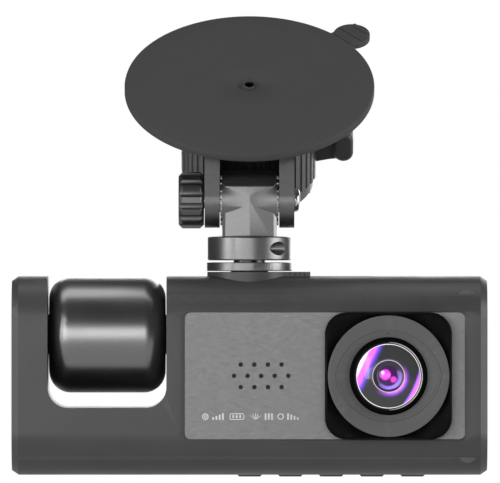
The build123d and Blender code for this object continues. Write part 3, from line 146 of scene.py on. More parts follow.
def spinUp(name, profile, sides=96, shade=35):
    # a round piece about its own Z axis from (radius, height) steps in mm; a zero radius is a pole
    clearSelection()
    rings = [(r * mm, h * mm) for r, h in profile]
    body = [ring for ring in rings if ring[0] > 0]
    bpy.ops.mesh.primitive_circle_add(vertices=sides, radius=body[0][0], location=(0, 0, body[0][1]))
    piece = bpy.context.object
    piece.name = name
    bpy.ops.object.transform_apply(location=True)
    bpy.ops.object.mode_set(mode="EDIT")
    bpy.ops.mesh.select_all(action="SELECT")
    for (oldRadius, oldHeight), (radius, height) in zip(body, body[1:]):
        bpy.ops.mesh.extrude_region_move(TRANSFORM_OT_translate={"value": (0, 0, height - oldHeight)})
        factor = radius / oldRadius
        bpy.ops.transform.resize(value=(factor, factor, 1), center_override=(0, 0, height))
    if rings[-1][0] == 0:
        bpy.ops.mesh.extrude_region_move(
            TRANSFORM_OT_translate={"value": (0, 0, rings[-1][1] - rings[-2][1])})
        bpy.ops.mesh.merge(type="CENTER")
    if rings[0][0] == 0:
        bpy.ops.mesh.select_all(action="DESELECT")
        shape = bmesh.from_edit_mesh(piece.data)
        for edge in shape.edges:
            edge.select_set(edge.is_boundary)
        bmesh.update_edit_mesh(piece.data)
        bpy.ops.mesh.extrude_region_move(
            TRANSFORM_OT_translate={"value": (0, 0, rings[0][1] - rings[1][1])})
        bpy.ops.mesh.merge(type="CENTER")
    bpy.ops.mesh.select_all(action="SELECT")
    bpy.ops.mesh.remove_doubles(threshold=weld["turned"])
    bpy.ops.mesh.normals_make_consistent(inside=False)
    bpy.ops.object.mode_set(mode="OBJECT")
    smooth(piece, shade)
    return piece


def place(piece, spot, lean):
    # leans a piece about X by an angle and moves it to a spot
    piece.rotation_euler = (lean, 0, 0)
    piece.location = spot
    choose(piece)
    bpy.ops.object.transform_apply(location=True, rotation=True, scale=True)


def joinUp(name, pieces):
    clearSelection()
    for piece in pieces:
        piece.select_set(True)
    bpy.context.view_layer.objects.active = pieces[0]
    bpy.ops.object.join()
    pieces[0].name = name
    return pieces[0]


def combine(piece, tool, operation):
    useModifier(piece, "BOOLEAN", object=tool, operation=operation, solver="EXACT")
    bpy.data.objects.remove(tool)


def block(centre, size, edge, parts=2):
    # a box with rounded edges, centre and size in mm
    clearSelection()
    bpy.ops.mesh.primitive_cube_add(size=1, location=[c * mm for c in centre], scale=[v * mm for v in size])
    piece = bpy.context.object
    bpy.ops.object.transform_apply(location=True, rotation=True, scale=True)
    if edge:
        roundEdges(piece, edge * mm, parts)
    return piece


def newGroup(name, inputs, outputs):
    group = bpy.data.node_groups.new(name, "ShaderNodeTree")
    for label, kind, value in inputs:
        socket = group.interface.new_socket(name=label, in_out="INPUT", socket_type=kind)
        if value is not None:
            socket.default_value = value
    for label, kind in outputs:
        group.interface.new_socket(name=label, in_out="OUTPUT", socket_type=kind)
    return group, group.nodes.new("NodeGroupInput"), group.nodes.new("NodeGroupOutput")


def addNode(tree, kind, **settings):
    node = tree.nodes.new(kind)
    for key, value in settings.items():
        setattr(node, key, value)
    return node


def sums(tree, operation, first, second=None, third=None):
    node = addNode(tree, "ShaderNodeMath", operation=operation)
    for index, value in enumerate((first, second, third)):
        if value is None:
            continue
        if isinstance(value, (int, float)):
            node.inputs[index].default_value = value
        else:
            tree.links.new(value, node.inputs[index])
    return node.outputs[0]


def makeMouldGrain():
    # fine spark-eroded texture of a moulded casing, with slow patches of gloss
    group, start, end = newGroup(
        "mouldGrain",
        [("Vector", "NodeSocketVector", None), ("Grain Size", "NodeSocketFloat", 0.25),
         ("Patch Size", "NodeSocketFloat", 12.0)],
        [("Height", "NodeSocketFloat"), ("Patch", "NodeSocketFloat")])
    fine = addNode(group, "ShaderNodeTexNoise")
    fine.inputs["Detail"].default_value = 3.0
    cells = addNode(group, "ShaderNodeTexVoronoi", feature="SMOOTH_F1")
    slow = addNode(group, "ShaderNodeTexNoise")
    slow.inputs["Detail"].default_value = 2.0
    grainScale = sums(group, "DIVIDE", 1000.0, start.outputs["Grain Size"])
    patchScale = sums(group, "DIVIDE", 1000.0, start.outputs["Patch Size"])
    for texture, scale in ((fine, grainScale), (cells, grainScale), (slow, patchScale)):
        group.links.new(start.outputs["Vector"], texture.inputs["Vector"])
        group.links.new(scale, texture.inputs["Scale"])
    height = sums(group, "MULTIPLY_ADD", cells.outputs["Distance"], 0.6, fine.outputs["Fac"])
    group.links.new(height, end.inputs["Height"])
    group.links.new(slow.outputs["Fac"], end.inputs["Patch"])
    return group


def makeEdgeWear():
    # a mask of rubbed edges, which the materials draw brighter
    group, start, end = newGroup(
        "edgeWear",
        [("Vector", "NodeSocketVector", None), ("Amount", "NodeSocketFloat", 0.5)],
        [("Mask", "NodeSocketFloat")])
    shape = addNode(group, "ShaderNodeNewGeometry")
    breakup = addNode(group, "ShaderNodeTexNoise")
    breakup.inputs["Scale"].default_value = 900.0
    group.links.new(start.outputs["Vector"], breakup.inputs["Vector"])
    edge = addNode(group, "ShaderNodeMapRange", clamp=True)
    edge.inputs["From Min"].default_value = 0.52
    edge.inputs["From Max"].default_value = 0.6
    group.links.new(shape.outputs["Pointiness"], edge.inputs["Value"])
    rubbed = sums(group, "MULTIPLY", edge.outputs["Result"], breakup.outputs["Fac"])
    group.links.new(sums(group, "MULTIPLY", rubbed, start.outputs["Amount"]), end.inputs["Mask"])
    return group


def makeDust():
    # a few tiny specks
    group, start, end = newGroup(
        "dustSpecks",
        [("Vector", "NodeSocketVector", None), ("Spacing", "NodeSocketFloat", 2.0),
         ("Speck", "NodeSocketFloat", 0.035)],
        [("Mask", "NodeSocketFloat")])
    cells = addNode(group, "ShaderNodeTexVoronoi", feature="F1")
    group.links.new(start.outputs["Vector"], cells.inputs["Vector"])
    group.links.new(sums(group, "DIVIDE", 1000.0, start.outputs["Spacing"]), cells.inputs["Scale"])
    group.links.new(sums(group, "LESS_THAN", cells.outputs["Distance"], start.outputs["Speck"]),
                    end.inputs["Mask"])
    return group


def makeBrushed():
    # long fine lines along X
    group, start, end = newGroup(
        "brushedLines",
        [("Vector", "NodeSocketVector", None), ("Line Size", "NodeSocketFloat", 0.12),
         ("Stretch", "NodeSocketFloat", 0.02)],
        [("Height", "NodeSocketFloat")])
    stretch = addNode(group, "ShaderNodeVectorMath", operation="MULTIPLY")
    along = addNode(group, "ShaderNodeCombineXYZ")
    along.inputs["Y"].default_value = 1.0
    along.inputs["Z"].default_value = 1.0
    group.links.new(start.outputs["Stretch"], along.inputs["X"])
    group.links.new(start.outputs["Vector"], stretch.inputs[0])
    group.links.new(along.outputs["Vector"], stretch.inputs[1])
    lines = addNode(group, "ShaderNodeTexNoise")
    lines.inputs["Detail"].default_value = 4.0
    group.links.new(stretch.outputs["Vector"], lines.inputs["Vector"])
    group.links.new(sums(group, "DIVIDE", 1000.0, start.outputs["Line Size"]), lines.inputs["Scale"])
    group.links.new(lines.outputs["Fac"], end.inputs["Height"])
    return group


effects = {
    "grain": makeMouldGrain(), "wear": makeEdgeWear(), "dust": makeDust(), "brushed": makeBrushed(),
}
print("shader groups ready")
dustTint = (0.2, 0.19, 0.18)


def startMaterial(name, look):
    material = bpy.data.materials.new(name)
    material.use_nodes = True
    tree = material.node_tree
    shader = tree.nodes["Principled BSDF"]
    for label, value in look.items():
        shader.inputs[label].default_value = value
    coordinates = addNode(tree, "ShaderNodeTexCoord")
    return material, tree, shader, coordinates.outputs["Object"]


def useEffect(tree, key, vector, **values):
    node = addNode(tree, "ShaderNodeGroup", node_tree=effects[key])
    tree.links.new(vector, node.inputs["Vector"])
    for label, value in values.items():
        node.inputs[label.replace("_", " ")].default_value = value
    return node.outputs


def blendColour(tree, mask, low, high):
    mix = addNode(tree, "ShaderNodeMix", data_type="RGBA")
    tree.links.new(mask, mix.inputs["Factor"])
    for socket, value in ((mix.inputs["A"], low), (mix.inputs["B"], high)):
        if hasattr(value, "links"):
            tree.links.new(value, socket)
        else:
            socket.default_value = (*value, 1.0)
    return mix.outputs["Result"]


def spread(tree, mask, low, high, fromLow=0.0, fromHigh=1.0, bend="LINEAR"):
    # carries a mask's range from fromLow..fromHigh over to low..high
    node = addNode(tree, "ShaderNodeMapRange", clamp=True, interpolation_type=bend)
    for label, value in (("From Min", fromLow), ("From Max", fromHigh),
                         ("To Min", low), ("To Max", high)):
        node.inputs[label].default_value = value
    tree.links.new(mask, node.inputs["Value"])
    return node.outputs["Result"]


def addBump(tree, shader, height, strength, distance):
    bump = addNode(tree, "ShaderNodeBump")
    bump.inputs["Strength"].default_value = strength
    bump.inputs["Distance"].default_value = distance
    tree.links.new(height, bump.inputs["Height"])
    tree.links.new(bump.outputs["Normal"], shader.inputs["Normal"])


def mouldedPlastic(name, colour, worn, rough, grain, depth, wear=0.5, coat=0.0, dust=0.03, ior=1.5):
    # grain is the texture's size in mm and depth its height in metres
    material, tree, shader, where = startMaterial(
        name, {"IOR": ior, "Coat Weight": coat, "Coat Roughness": 0.06})
    grainOut = useEffect(tree, "grain", where, Grain_Size=grain)
    wearOut = useEffect(tree, "wear", where, Amount=wear)
    dustOut = useEffect(tree, "dust", where, Speck=dust)
    tinted = blendColour(tree, grainOut["Patch"], [c * 0.85 for c in colour], [c * 1.15 for c in colour])
    rubbed = blendColour(tree, wearOut["Mask"], tinted, worn)
    dusty = blendColour(tree, dustOut["Mask"], rubbed, dustTint)
    tree.links.new(dusty, shader.inputs["Base Color"])
    tree.links.new(spread(tree, grainOut["Patch"], rough * 0.88, rough * 1.12, 0.3, 0.7),
                   shader.inputs["Roughness"])
    addBump(tree, shader, grainOut["Height"], 0.35, depth)
    return material


def plainMetal(name, colour, rough):
    material, tree, shader, where = startMaterial(name, {"Metallic": 1.0})
    lines = useEffect(tree, "brushed", where, Stretch=0.05)
    wearOut = useEffect(tree, "wear", where, Amount=0.6)
    tinted = blendColour(tree, lines["Height"], [c * 0.8 for c in colour], [min(c * 1.15, 1) for c in colour])
    tree.links.new(blendColour(tree, wearOut["Mask"], tinted, [min(c * 1.4, 1) for c in colour]),
                   shader.inputs["Base Color"])
    tree.links.new(spread(tree, lines["Height"], rough * 0.8, rough * 1.25, 0.3, 0.7),
                   shader.inputs["Roughness"])
    addBump(tree, shader, lines["Height"], 0.15, 0.01 * mm)
    return material


def glassMaterial(name, tint, rough):
    # clear glass with slow patches of haze
    material, tree, shader, where = startMaterial(
        name, {"IOR": 1.52, "Transmission Weight": 1.0, "Base Color": (*tint, 1.0)})
    patch = useEffect(tree, "grain", where, Patch_Size=6.0)
    tree.links.new(spread(tree, patch["Patch"], rough, rough * 2.5, 0.35, 0.7), shader.inputs["Roughness"])
    return material


def satinLacquer(name, level, rough):
    # black pearl lacquer: dark metal flakes under a thin satin coat
    material, tree, shader, where = startMaterial(
        name, {"Metallic": 1.0, "Coat Weight": 0.25, "Coat Roughness": 0.2})
    grainOut = useEffect(tree, "grain", where, Grain_Size=0.12, Patch_Size=15.0)
    wearOut = useEffect(tree, "wear", where, Amount=0.5)
    dustOut = useEffect(tree, "dust", where, Speck=0.025)
    flakes = blendColour(tree, spread(tree, grainOut["Height"], 0.0, 1.0, 0.5, 1.0),
                         [level * 0.85] * 3, [level * 1.12] * 3)
    rubbed = blendColour(tree, wearOut["Mask"], flakes, [level * 1.6] * 3)
    tree.links.new(blendColour(tree, dustOut["Mask"], rubbed, dustTint), shader.inputs["Base Color"])
    tree.links.new(spread(tree, grainOut["Patch"], rough * 0.9, rough * 1.1, 0.3, 0.7),
                   shader.inputs["Roughness"])
    addBump(tree, shader, grainOut["Height"], 0.2, 0.004 * mm)
    return material


satins = {"arm": satinLacquer("armSatin", 0.2, 0.38), "drum": satinLacquer("drumSatin", 0.27, 0.31),
          "mount": satinLacquer("mountSatin", 0.15, 0.45)}
# one finish for each material slot
finishes = {
    "pad_rubber": mouldedPlastic(
        "padRubber", (0.052, 0.052, 0.054), (0.09, 0.09, 0.09), 0.72, 0.3, 0.02 * mm, 0.3),
    "black_plastic": mouldedPlastic(
        "casingPlastic", (0.055, 0.055, 0.057), (0.12, 0.12, 0.12), 0.42, 0.2, 0.01 * mm),
    "gloss_black": mouldedPlastic(
        "glossBlack", (0.01, 0.01, 0.011), (0.03, 0.03, 0.03), 0.2, 0.6, 0.001 * mm, 0.2, 0.6),
    "panel_grey": plainMetal("panelLacquer", (0.18, 0.18, 0.183), 0.42),
    "bezel_grey": plainMetal("bezelMetal", (0.09, 0.09, 0.092), 0.38),
    "chrome_steel": plainMetal("boltChrome", (0.75, 0.75, 0.77), 0.12),
    "steel": plainMetal("pinSteel", (0.5, 0.5, 0.52), 0.3),
    "brass": plainMetal("nutBrass", (0.7, 0.5, 0.25), 0.28),
    "board_green": mouldedPlastic(
        "boardGreen", (0.02, 0.14, 0.06), (0.2, 0.3, 0.2), 0.35, 0.5, 0.005 * mm),
    "chip_black": mouldedPlastic(
        "chipBlack", (0.02, 0.02, 0.022), (0.06, 0.06, 0.06), 0.5, 0.15, 0.005 * mm),
    "lead_rubber": mouldedPlastic(
        "leadRubber", (0.03, 0.03, 0.03), (0.07, 0.07, 0.07), 0.6, 0.2, 0.005 * mm),
    "pouch_foil": plainMetal("pouchFoil", (0.55, 0.55, 0.57), 0.35),
    "led_lens": mouldedPlastic(
        "ledLens", (0.05, 0.012, 0.02), (0.1, 0.05, 0.05), 0.1, 0.5, 0.002 * mm, 0.2, 0.8),
    "lens_glass": glassMaterial("lensGlass", (0.9, 0.86, 1.0), 0.01),
    "window_glass": mouldedPlastic(
        "windowGlass", (0.006, 0.006, 0.008), (0.02, 0.02, 0.02), 0.05, 2.0, 0.0005 * mm, 0.1, 1.0),
}
for name, node in nodes.items():
    node.data.materials.clear()
    node.data.materials.append(finishes[slotOf[name]])
print("materials ready")

housingBlack = mouldedPlastic(
    "lensHousingBlack", (0.004, 0.004, 0.0045), (0.03, 0.03, 0.03), 0.42, 0.3, 0.003 * mm,
    0.3, 0.0, 0.03, 1.12)
barrelBlack = mouldedPlastic(
    "barrelBlack", (0.003, 0.003, 0.003), (0.02, 0.02, 0.02), 0.7, 0.2, 0.002 * mm, 0.1, 0.0, 0.02, 1.08)
# pieces whose finish isn't their slot's own
ownFinish = {
    "tilt_arm": satins["arm"], "swivel_disc": satins["arm"], "drum_front": satins["drum"],
    "drum_rear": satins["drum"], "cup_housing": satins["mount"], "tilt_knob": satins["mount"],
    "lens_block": housingBlack, "lens_barrel": barrelBlack,
}
shadeAngle = {"tilt_arm": 12}
plainShade = 20
# node, piece, edge rounding in mm
refinedPieces = [
    ("cup_housing", "cupBell", 0.2), ("tilt_arm", "armForging", 0.15),
    ("tilt_knob", "knobGrip", 0.15), ("lever", "camLever", 0.15), ("swivel_disc", "swivelPlate", 0),
    ("mount_shoe", "shoePlate", 0.12), ("front_shell", "casingFront", 0.12),
    ("rear_shell", "casingRear", 0.12),
    ("drum_front", "drumFront", 0), ("drum_rear", "drumRear", 0), ("lens_block", "lensHousing", 0),
    ("lens_barrel", "barrelRing", 0.08), ("hinge_bolt", "boltDome", 0),
    ("cabin_face", "cabinFacePlate", 0.08), ("cabin_barrel", "cabinBarrelRing", 0.05),
    ("usb_socket", "usbShell", 0.04), ("case_screws", "caseScrewHeads", 0.05),
    ("button_1", "keyOne", 0.1), ("button_2", "keyTwo", 0.1), ("button_3", "keyThree", 0.1),
    ("button_4", "keyFour", 0.1), ("button_5", "keyFive", 0.1),
]
for node, name, width in refinedPieces:
    finish = ownFinish.get(node, finishes[slotOf[node]])
    refine(node, name, finish, width * mm, shadeAngle.get(node, plainShade))
    print("refined", name)

pad = {
    "radius": 29.1, "thickness": 2.2, "edge": 0.35,
    "pipRadius": 1.35, "pipDrop": 0.02,  # the moulding pip in the middle of the dimple
    "dimpleRadius": 2.75, "dimple": 0.6,
    "bossRadius": 9.0, "boss": 4.6,
    "sides": 192, "shade": 50,
}
tab = {
    "reach": 32.7, "angle": 43, "radius": 4.3, "top": -0.7, "thickness": 1.4,
    "neck": 7.3, "overlap": 1.5,  # the neck's width, and how far it runs into the pad
    "edge": 0.3, "sides": 64, "shade": 40,
    "ridgePitch": 3.05, "ridgeWidth": 0.6, "ridgeHeight": 0.42, "ridgeEdge": 0.15,
    "sideRidge": 4.95, "middleRidge": 7.5, "ridgeRoot": 0.2,
}


def makePad():
    r, t, e = pad["radius"], pad["thickness"], pad["edge"]
    pip, dimple = pad["pipRadius"], pad["dimpleRadius"]
    face = [(r * share, 0) for share in (0.3, 0.55, 0.8)]
    disc = spinUp("padRubberDisc", [
        (0, -pad["pipDrop"]), (pip - 0.25, -pad["pipDrop"]), (pip, -0.2),
        (pip + 0.15, -pad["dimple"]), (dimple - 0.4, -pad["dimple"]), (dimple - 0.05, -0.3),
        (dimple + 0.3, 0),
        *face, (r - e - 0.15, 0), (r - 0.3 * e, -0.3 * e), (r, -e - 0.1),
        (r, -t + e), (r - 0.3 * e, -t + 0.3 * e), (r - e, -t), (r * 0.7, -t),
        (pad["bossRadius"], -t), (pad["bossRadius"], -t - pad["boss"]), (0, -t - pad["boss"]),
    ], pad["sides"], pad["shade"])
    place(disc, (0, 0, 0), glassLean)
    settle(disc, finishes["pad_rubber"], "mount", "pad_rubber", "suction_pad")


def makeTab():
    # the pull tab at the pad's edge: a flat lug with three raised grip ridges
    depth = tab["top"] - tab["thickness"] / 2
    clearSelection()
    bpy.ops.mesh.primitive_cylinder_add(
        vertices=tab["sides"], radius=tab["radius"] * mm, depth=tab["thickness"] * mm,
        location=(tab["reach"] * mm, 0, depth * mm))
    lug = bpy.context.object
    bpy.ops.object.transform_apply(location=True)
    inner = pad["radius"] - tab["overlap"]
    neckMiddle = ((inner + tab["reach"]) / 2, 0, depth)
    neck = block(neckMiddle, (tab["reach"] - inner, tab["neck"], tab["thickness"]), 0)
    combine(lug, neck, "UNION")
    roundEdges(lug, tab["edge"] * mm, 3)
    root = tab["ridgeRoot"]
    for step, length in ((-1, tab["sideRidge"]), (0, tab["middleRidge"]), (1, tab["sideRidge"])):
        spot = (tab["reach"] + step * tab["ridgePitch"], 0, tab["top"] + (tab["ridgeHeight"] - root) / 2)
        ridge = block(spot, (tab["ridgeWidth"], length, tab["ridgeHeight"] + root), tab["ridgeEdge"])
        combine(lug, ridge, "UNION")
    lug.name = "padPullTab"
    smooth(lug, tab["shade"])
    lug.rotation_euler = (0, 0, turn(tab["angle"]))
    choose(lug)
    bpy.ops.object.transform_apply(rotation=True)
    place(lug, (0, 0, 0), glassLean)
    settle(lug, finishes["pad_rubber"], "mount", "pad_rubber", "suction_pad")


makePad()
makeTab()
print("suction pad ready")

# heights run towards the road from the tilt hinge, and radii from the lens's centre, in mm
lens = {
    "edge": 7.9, "back": 19.4, "rim": 20.2, "apex": 22.4, "sides": 128, "shade": 40,
    "innerRing": 3.67, "eyeRadius": 2.35,
    # painted highlight rings at whiteRing and rimRing, darker from darkFrom outward, and the share of a line's
    # half width held at full strength
    "whiteRing": 7.35, "rimRing": 7.78, "darkFrom": (7.4, 7.46), "lineCore": 0.4,
    # the painted reflection at the left: its tilt in degrees, its two sides, and its colours from left to right
    "bandTilt": 25.2, "band": (-7.5, -3.6),
    "bandColours": [
        (0.12, (1.0, 0.85, 1.0)), (0.22, (0.95, 0.2, 0.95)),
        (0.6, (0.85, 0.16, 0.95)), (0.8, (0.16, 0.09, 0.8)),
    ],
    # the painted crescent reflection at the lower right: its turn and spread in radians, its bow and where it
    # starts
    "crescentTurn": 0.44, "crescentSpread": 0.75, "crescentBow": 1.3, "crescentFrom": 6.0,
    # the painted crescent's two colours, then the painted halo reflection: where it fades, where its tint turns,
    # and the side it lies on in degrees
    "violet": (0.16, 0.09, 0.75), "rose": (0.9, 0.2, 0.95),
    "haloFade": (3.9, 5.2), "haloTint": (3.7, 5.0), "haloSide": -48,
    # spots on the eye, its dark base first, then painted reflections and a white painted highlight: centre,
    # radius, soft edge, colour
    "spots": [
        ((0.0, 0.0), 2.3, 0.25, (0.05, 0.012, 0.08)), ((1.15, -0.75), 0.95, 0.5, (0.7, 0.05, 0.55)),
        ((-0.75, 0.35), 1.45, 0.5, (0.85, 0.06, 0.85)), ((-1.3, 0.8), 0.6, 0.5, (1.0, 0.95, 1.0)),
    ],
}


def localPlace(tree, vector, spot, rotation):
    # coordinates in mm about a spot, with the local Z axis out of the piece
    node = addNode(tree, "ShaderNodeMapping", vector_type="TEXTURE")
    node.inputs["Location"].default_value = spot
    node.inputs["Rotation"].default_value = rotation
    node.inputs["Scale"].default_value = (mm, mm, mm)
    tree.links.new(vector, node.inputs["Vector"])
    parts = addNode(tree, "ShaderNodeSeparateXYZ")
    tree.links.new(node.outputs["Vector"], parts.inputs["Vector"])
    return parts.outputs["X"], parts.outputs["Y"]


def ease(tree, value, low, high, fromLow, fromHigh):
    return spread(tree, value, low, high, fromLow, fromHigh, "SMOOTHSTEP")


def distanceOf(tree, x, y):
    return sums(tree, "SQRT", sums(tree, "MULTIPLY_ADD", x, x, sums(tree, "MULTIPLY", y, y)))


def spotMask(tree, x, y, centre, radius, soft):
    # 1 inside a round spot, easing to 0 at its radius
    away = distanceOf(tree, sums(tree, "SUBTRACT", x, centre[0]), sums(tree, "SUBTRACT", y, centre[1]))
    return ease(tree, away, 1.0, 0.0, radius - soft, radius)


def lineMask(tree, radius, at, half):
    # 1 on a thin ring, easing to 0 half a width away
    away = sums(tree, "ABSOLUTE", sums(tree, "SUBTRACT", radius, at))
    return ease(tree, away, 1.0, 0.0, half * lens["lineCore"], half)


def facing(tree, angle, towards, power):
    # 1 on the side towards an angle in degrees, 0 on the far side
    toward = sums(tree, "MAXIMUM", sums(tree, "COSINE", sums(tree, "SUBTRACT", angle, turn(towards))), 0.0)
    return sums(tree, "POWER", toward, power)


def lensPaintedReflections(name, centre):
    # multi-coated lens: violet and rose painted reflections and white painted highlights in the colour over a dark
    # grey barrel, and the colour also glows as emission
    material, tree, shader, where = startMaterial(
        name, {"Roughness": 0.07, "Specular IOR Level": 0.3, "Coat Weight": 0.35, "Coat Roughness": 0.02,
               "Emission Strength": 0.55})
    x, y = localPlace(tree, where, centre, (toRoad, 0, 0))
    radius = distanceOf(tree, x, y)
    angle = sums(tree, "ARCTAN2", y, x)
    # painted reflection at the left: a tilted band of rose and violet over the dark grey base, white at its far
    # left edge
    tilt = turn(lens["bandTilt"])
    across = sums(tree, "MULTIPLY_ADD", x, math.cos(tilt), sums(tree, "MULTIPLY", y, -math.sin(tilt)))
    ramp = addNode(tree, "ShaderNodeValToRGB")
    stops = ramp.color_ramp
    stops.elements[0].position, stops.elements[0].color = 0.0, (1, 1, 1, 1)
    stops.elements[1].position, stops.elements[1].color = 1.0, (0.035, 0.036, 0.037, 1)
    for at, colour in lens["bandColours"]:
        stop = stops.elements.new(at)
        stop.color = (*colour, 1)
    tree.links.new(ease(tree, across, 0.0, 1.0, *lens["band"]), ramp.inputs["Fac"])
    colour = ramp.outputs["Color"]
    # painted crescent reflection at the lower right edge
    swing = sums(tree, "DIVIDE", sums(tree, "ADD", angle, lens["crescentTurn"]), lens["crescentSpread"])
    bowed = sums(tree, "MULTIPLY", swing, swing)
    inner = sums(tree, "MULTIPLY_ADD", bowed, lens["crescentBow"], lens["crescentFrom"])
    past = sums(tree, "SUBTRACT", radius, inner)
    crescent = blendColour(tree, ease(tree, past, 0.0, 1.0, 0.1, 0.9), lens["violet"], lens["rose"])
    colour = blendColour(tree, ease(tree, past, 0.0, 1.0, 0.0, 0.35), colour, crescent)
    # painted halo reflection outside the inner ring, on one side
    fade = sums(tree, "MULTIPLY", ease(tree, radius, 1.0, 0.0, *lens["haloFade"]),
                facing(tree, angle, lens["haloSide"], 1.4))
    colour = blendColour(tree, fade, colour, blendColour(
        tree, ease(tree, radius, 0.0, 1.0, *lens["haloTint"]), (0.75, 0.18, 0.95), (0.14, 0.06, 0.7)))
    # the inner group, darker, and its eye with a painted arc reflection, painted reflection spots and a painted
    # highlight
    colour = blendColour(tree, ease(tree, radius, 1.0, 0.0, 3.55, 3.67), colour, (0.028, 0.022, 0.04))
    arc = sums(tree, "MULTIPLY", lineMask(tree, radius, 2.65, 0.6), facing(tree, angle, -55, 0.8))
    colour = blendColour(tree, arc, colour, (0.3, 0.16, 0.85))
    for centreSpot, size, soft, tint in lens["spots"]:
        colour = blendColour(tree, spotMask(tree, x, y, centreSpot, size, soft), colour, tint)
    # painted highlights on the edges of the elements, darker outside the white ring
    colour = blendColour(tree, lineMask(tree, radius, lens["innerRing"], 0.1), colour, (0.6, 0.5, 0.68))
    colour = blendColour(tree, ease(tree, radius, 0.0, 1.0, *lens["darkFrom"]), colour, (0.02, 0.02, 0.022))
    colour = blendColour(tree, lineMask(tree, radius, lens["whiteRing"], 0.12), colour, (0.9, 0.88, 0.92))
    # the rim's painted highlight lies on one side only, as if lit from there
    rimSide = sums(tree, "MULTIPLY", lineMask(tree, radius, lens["rimRing"], 0.14),
                   facing(tree, angle, 0, 0.5))
    colour = blendColour(tree, rimSide, colour, (0.9, 0.9, 0.92))
    # the painted colour feeds both the base colour and the emission, so the lens glows though it is no lamp
    tree.links.new(colour, shader.inputs["Base Color"])
    tree.links.new(colour, shader.inputs["Emission Color"])
    return material


def makeLens():
    span = lens["edge"]
    crown = lens["apex"] - lens["rim"]

    def dome(r):
        return lens["apex"] - crown * (r / span) ** 2

    ring = lens["innerRing"]
    eye = lens["eyeRadius"]
    level = dome(ring)
    glass = spinUp("frontElementPaintedReflections", [
        (0, lens["back"]), (span, lens["back"]), (span, lens["rim"] - 0.15), (span - 0.12, lens["rim"]),
        *[(r, dome(r)) for r in (7.5, 7.1, 6.5, 5.8, 5.0, 4.3, ring + 0.12)],
        # the step down to the inner group, and its small domed eye
        (ring, level - 0.06), (ring - 0.12, level - 0.3), (3.0, level - 0.42),
        (eye + 0.1, level - 0.45), (eye, level - 0.3), (2.0, level - 0.1),
        (1.5, level + 0.1), (0.9, level + 0.24), (0.4, level + 0.29), (0, level + 0.3),
    ], lens["sides"], lens["shade"])
    place(glass, lensPoint, toRoad)
    settle(glass, lensPaintedReflections("lensPaintedReflections", lensPoint), "camera", "lens_glass", "front_glass")


bezel = {
    "outer": 14.0, "bore": 9.0, "back": 20.02, "front": 21.3, "dish": 1.1, "land": 0.35, "edge": 0.25,
    "boreEdge": 0.2, "sides": 192, "shade": 30,
    # two almond-shaped grooves: the arcs' radius, how far their centres are moved, and their widths
    "arc": 12.45, "apart": 1.95, "step": 0.6, "groove": 0.11, "fine": 0.06, "arcSteps": 160, "arcSides": 8,
}


def bezelHeight(r):
    inner, outer = bezel["bore"] + bezel["boreEdge"], bezel["outer"] - bezel["edge"] - bezel["land"]
    share = min(max((outer - r) / (outer - inner), 0), 1)
    return bezel["front"] - bezel["dish"] * share


def grooveTool(radius, width):
    # two arcs that meet in points, laid on the dished face
    halves = []
    for side in (1, -1):
        clearSelection()
        bpy.ops.mesh.primitive_torus_add(
            major_segments=bezel["arcSteps"], minor_segments=bezel["arcSides"], major_radius=radius * mm,
            minor_radius=width * mm, location=(0, -side * bezel["apart"] * mm, 0))
        half = bpy.context.object
        bpy.ops.object.transform_apply(location=True)
        bpy.ops.object.mode_set(mode="EDIT")
        bpy.ops.mesh.select_all(action="SELECT")
        bpy.ops.mesh.bisect(plane_co=(0, -side * width * mm, 0), plane_no=(0, side, 0), use_fill=True,
                            clear_inner=True)
        bpy.ops.object.mode_set(mode="OBJECT")
        for vertex in half.data.vertices:
            r = math.hypot(vertex.co.x, vertex.co.y) / mm
            vertex.co.z += bezelHeight(r) * mm
        halves.append(half)
    return halves


def makeBezel():
    outer, bore, front = bezel["outer"], bezel["bore"], bezel["front"]
    edge, floor = bezel["edge"], bezel["front"] - bezel["dish"]
    ring = spinUp("bezelRing", [
        (bore, bezel["back"]), (outer, bezel["back"]), (outer, front - edge),
        (outer - 0.3 * edge, front - 0.3 * edge), (outer - edge, front),
        (outer - edge - bezel["land"], front),
        (bore + bezel["boreEdge"], floor), (bore, floor - 0.05), (bore, bezel["back"]),
    ], bezel["sides"], bezel["shade"])
    for radius, width in ((bezel["arc"], bezel["groove"]), (bezel["arc"] - bezel["step"], bezel["fine"])):
        for half in grooveTool(radius, width):
            combine(ring, half, "DIFFERENCE")
    smooth(ring, bezel["shade"])
    place(ring, lensPoint, toRoad)
    paint = mouldedPlastic(
        "bezelPaint", (0.105, 0.105, 0.106), (0.2, 0.2, 0.2), 0.6, 0.15, 0.004 * mm, 0.3, 0.0, 0.02)
    settle(ring, paint, "camera", "bezel_grey", "lens_bezel")


makeLens()
makeBezel()
print("road lens ready")

# places run along the bar from the pad's centre line, and the row is below the bar's top, in mm
marks = {
    "height": 1.5, "row": -32.4, "ink": 0.03, "inkEdge": 0.012, "inSurface": 0.004, "face": 14.5,
    "barWidth": 0.42, "barPitch": 0.75,
    "iris": -10.2, "rising": -8.6, "frame": -4.6, "fan": 1.4, "tallBars": 3.5, "ring": 7.2, "falling": 8.7,
    "irisRadii": (0.75, 0.52), "hexagonRadii": (0.34, 0.16), "ringRadii": (0.75, 0.5),
    "frameWidth": 3.4, "frameLine": 0.2,
    "insetFrom": 0.65, "insetPitch": 0.8, "insetWidth": 0.4, "insetShare": 0.45,
    "fanLength": 1.5, "fanHalf": 50, "rayWidth": 0.16, "rayEdge": 0.01,
}


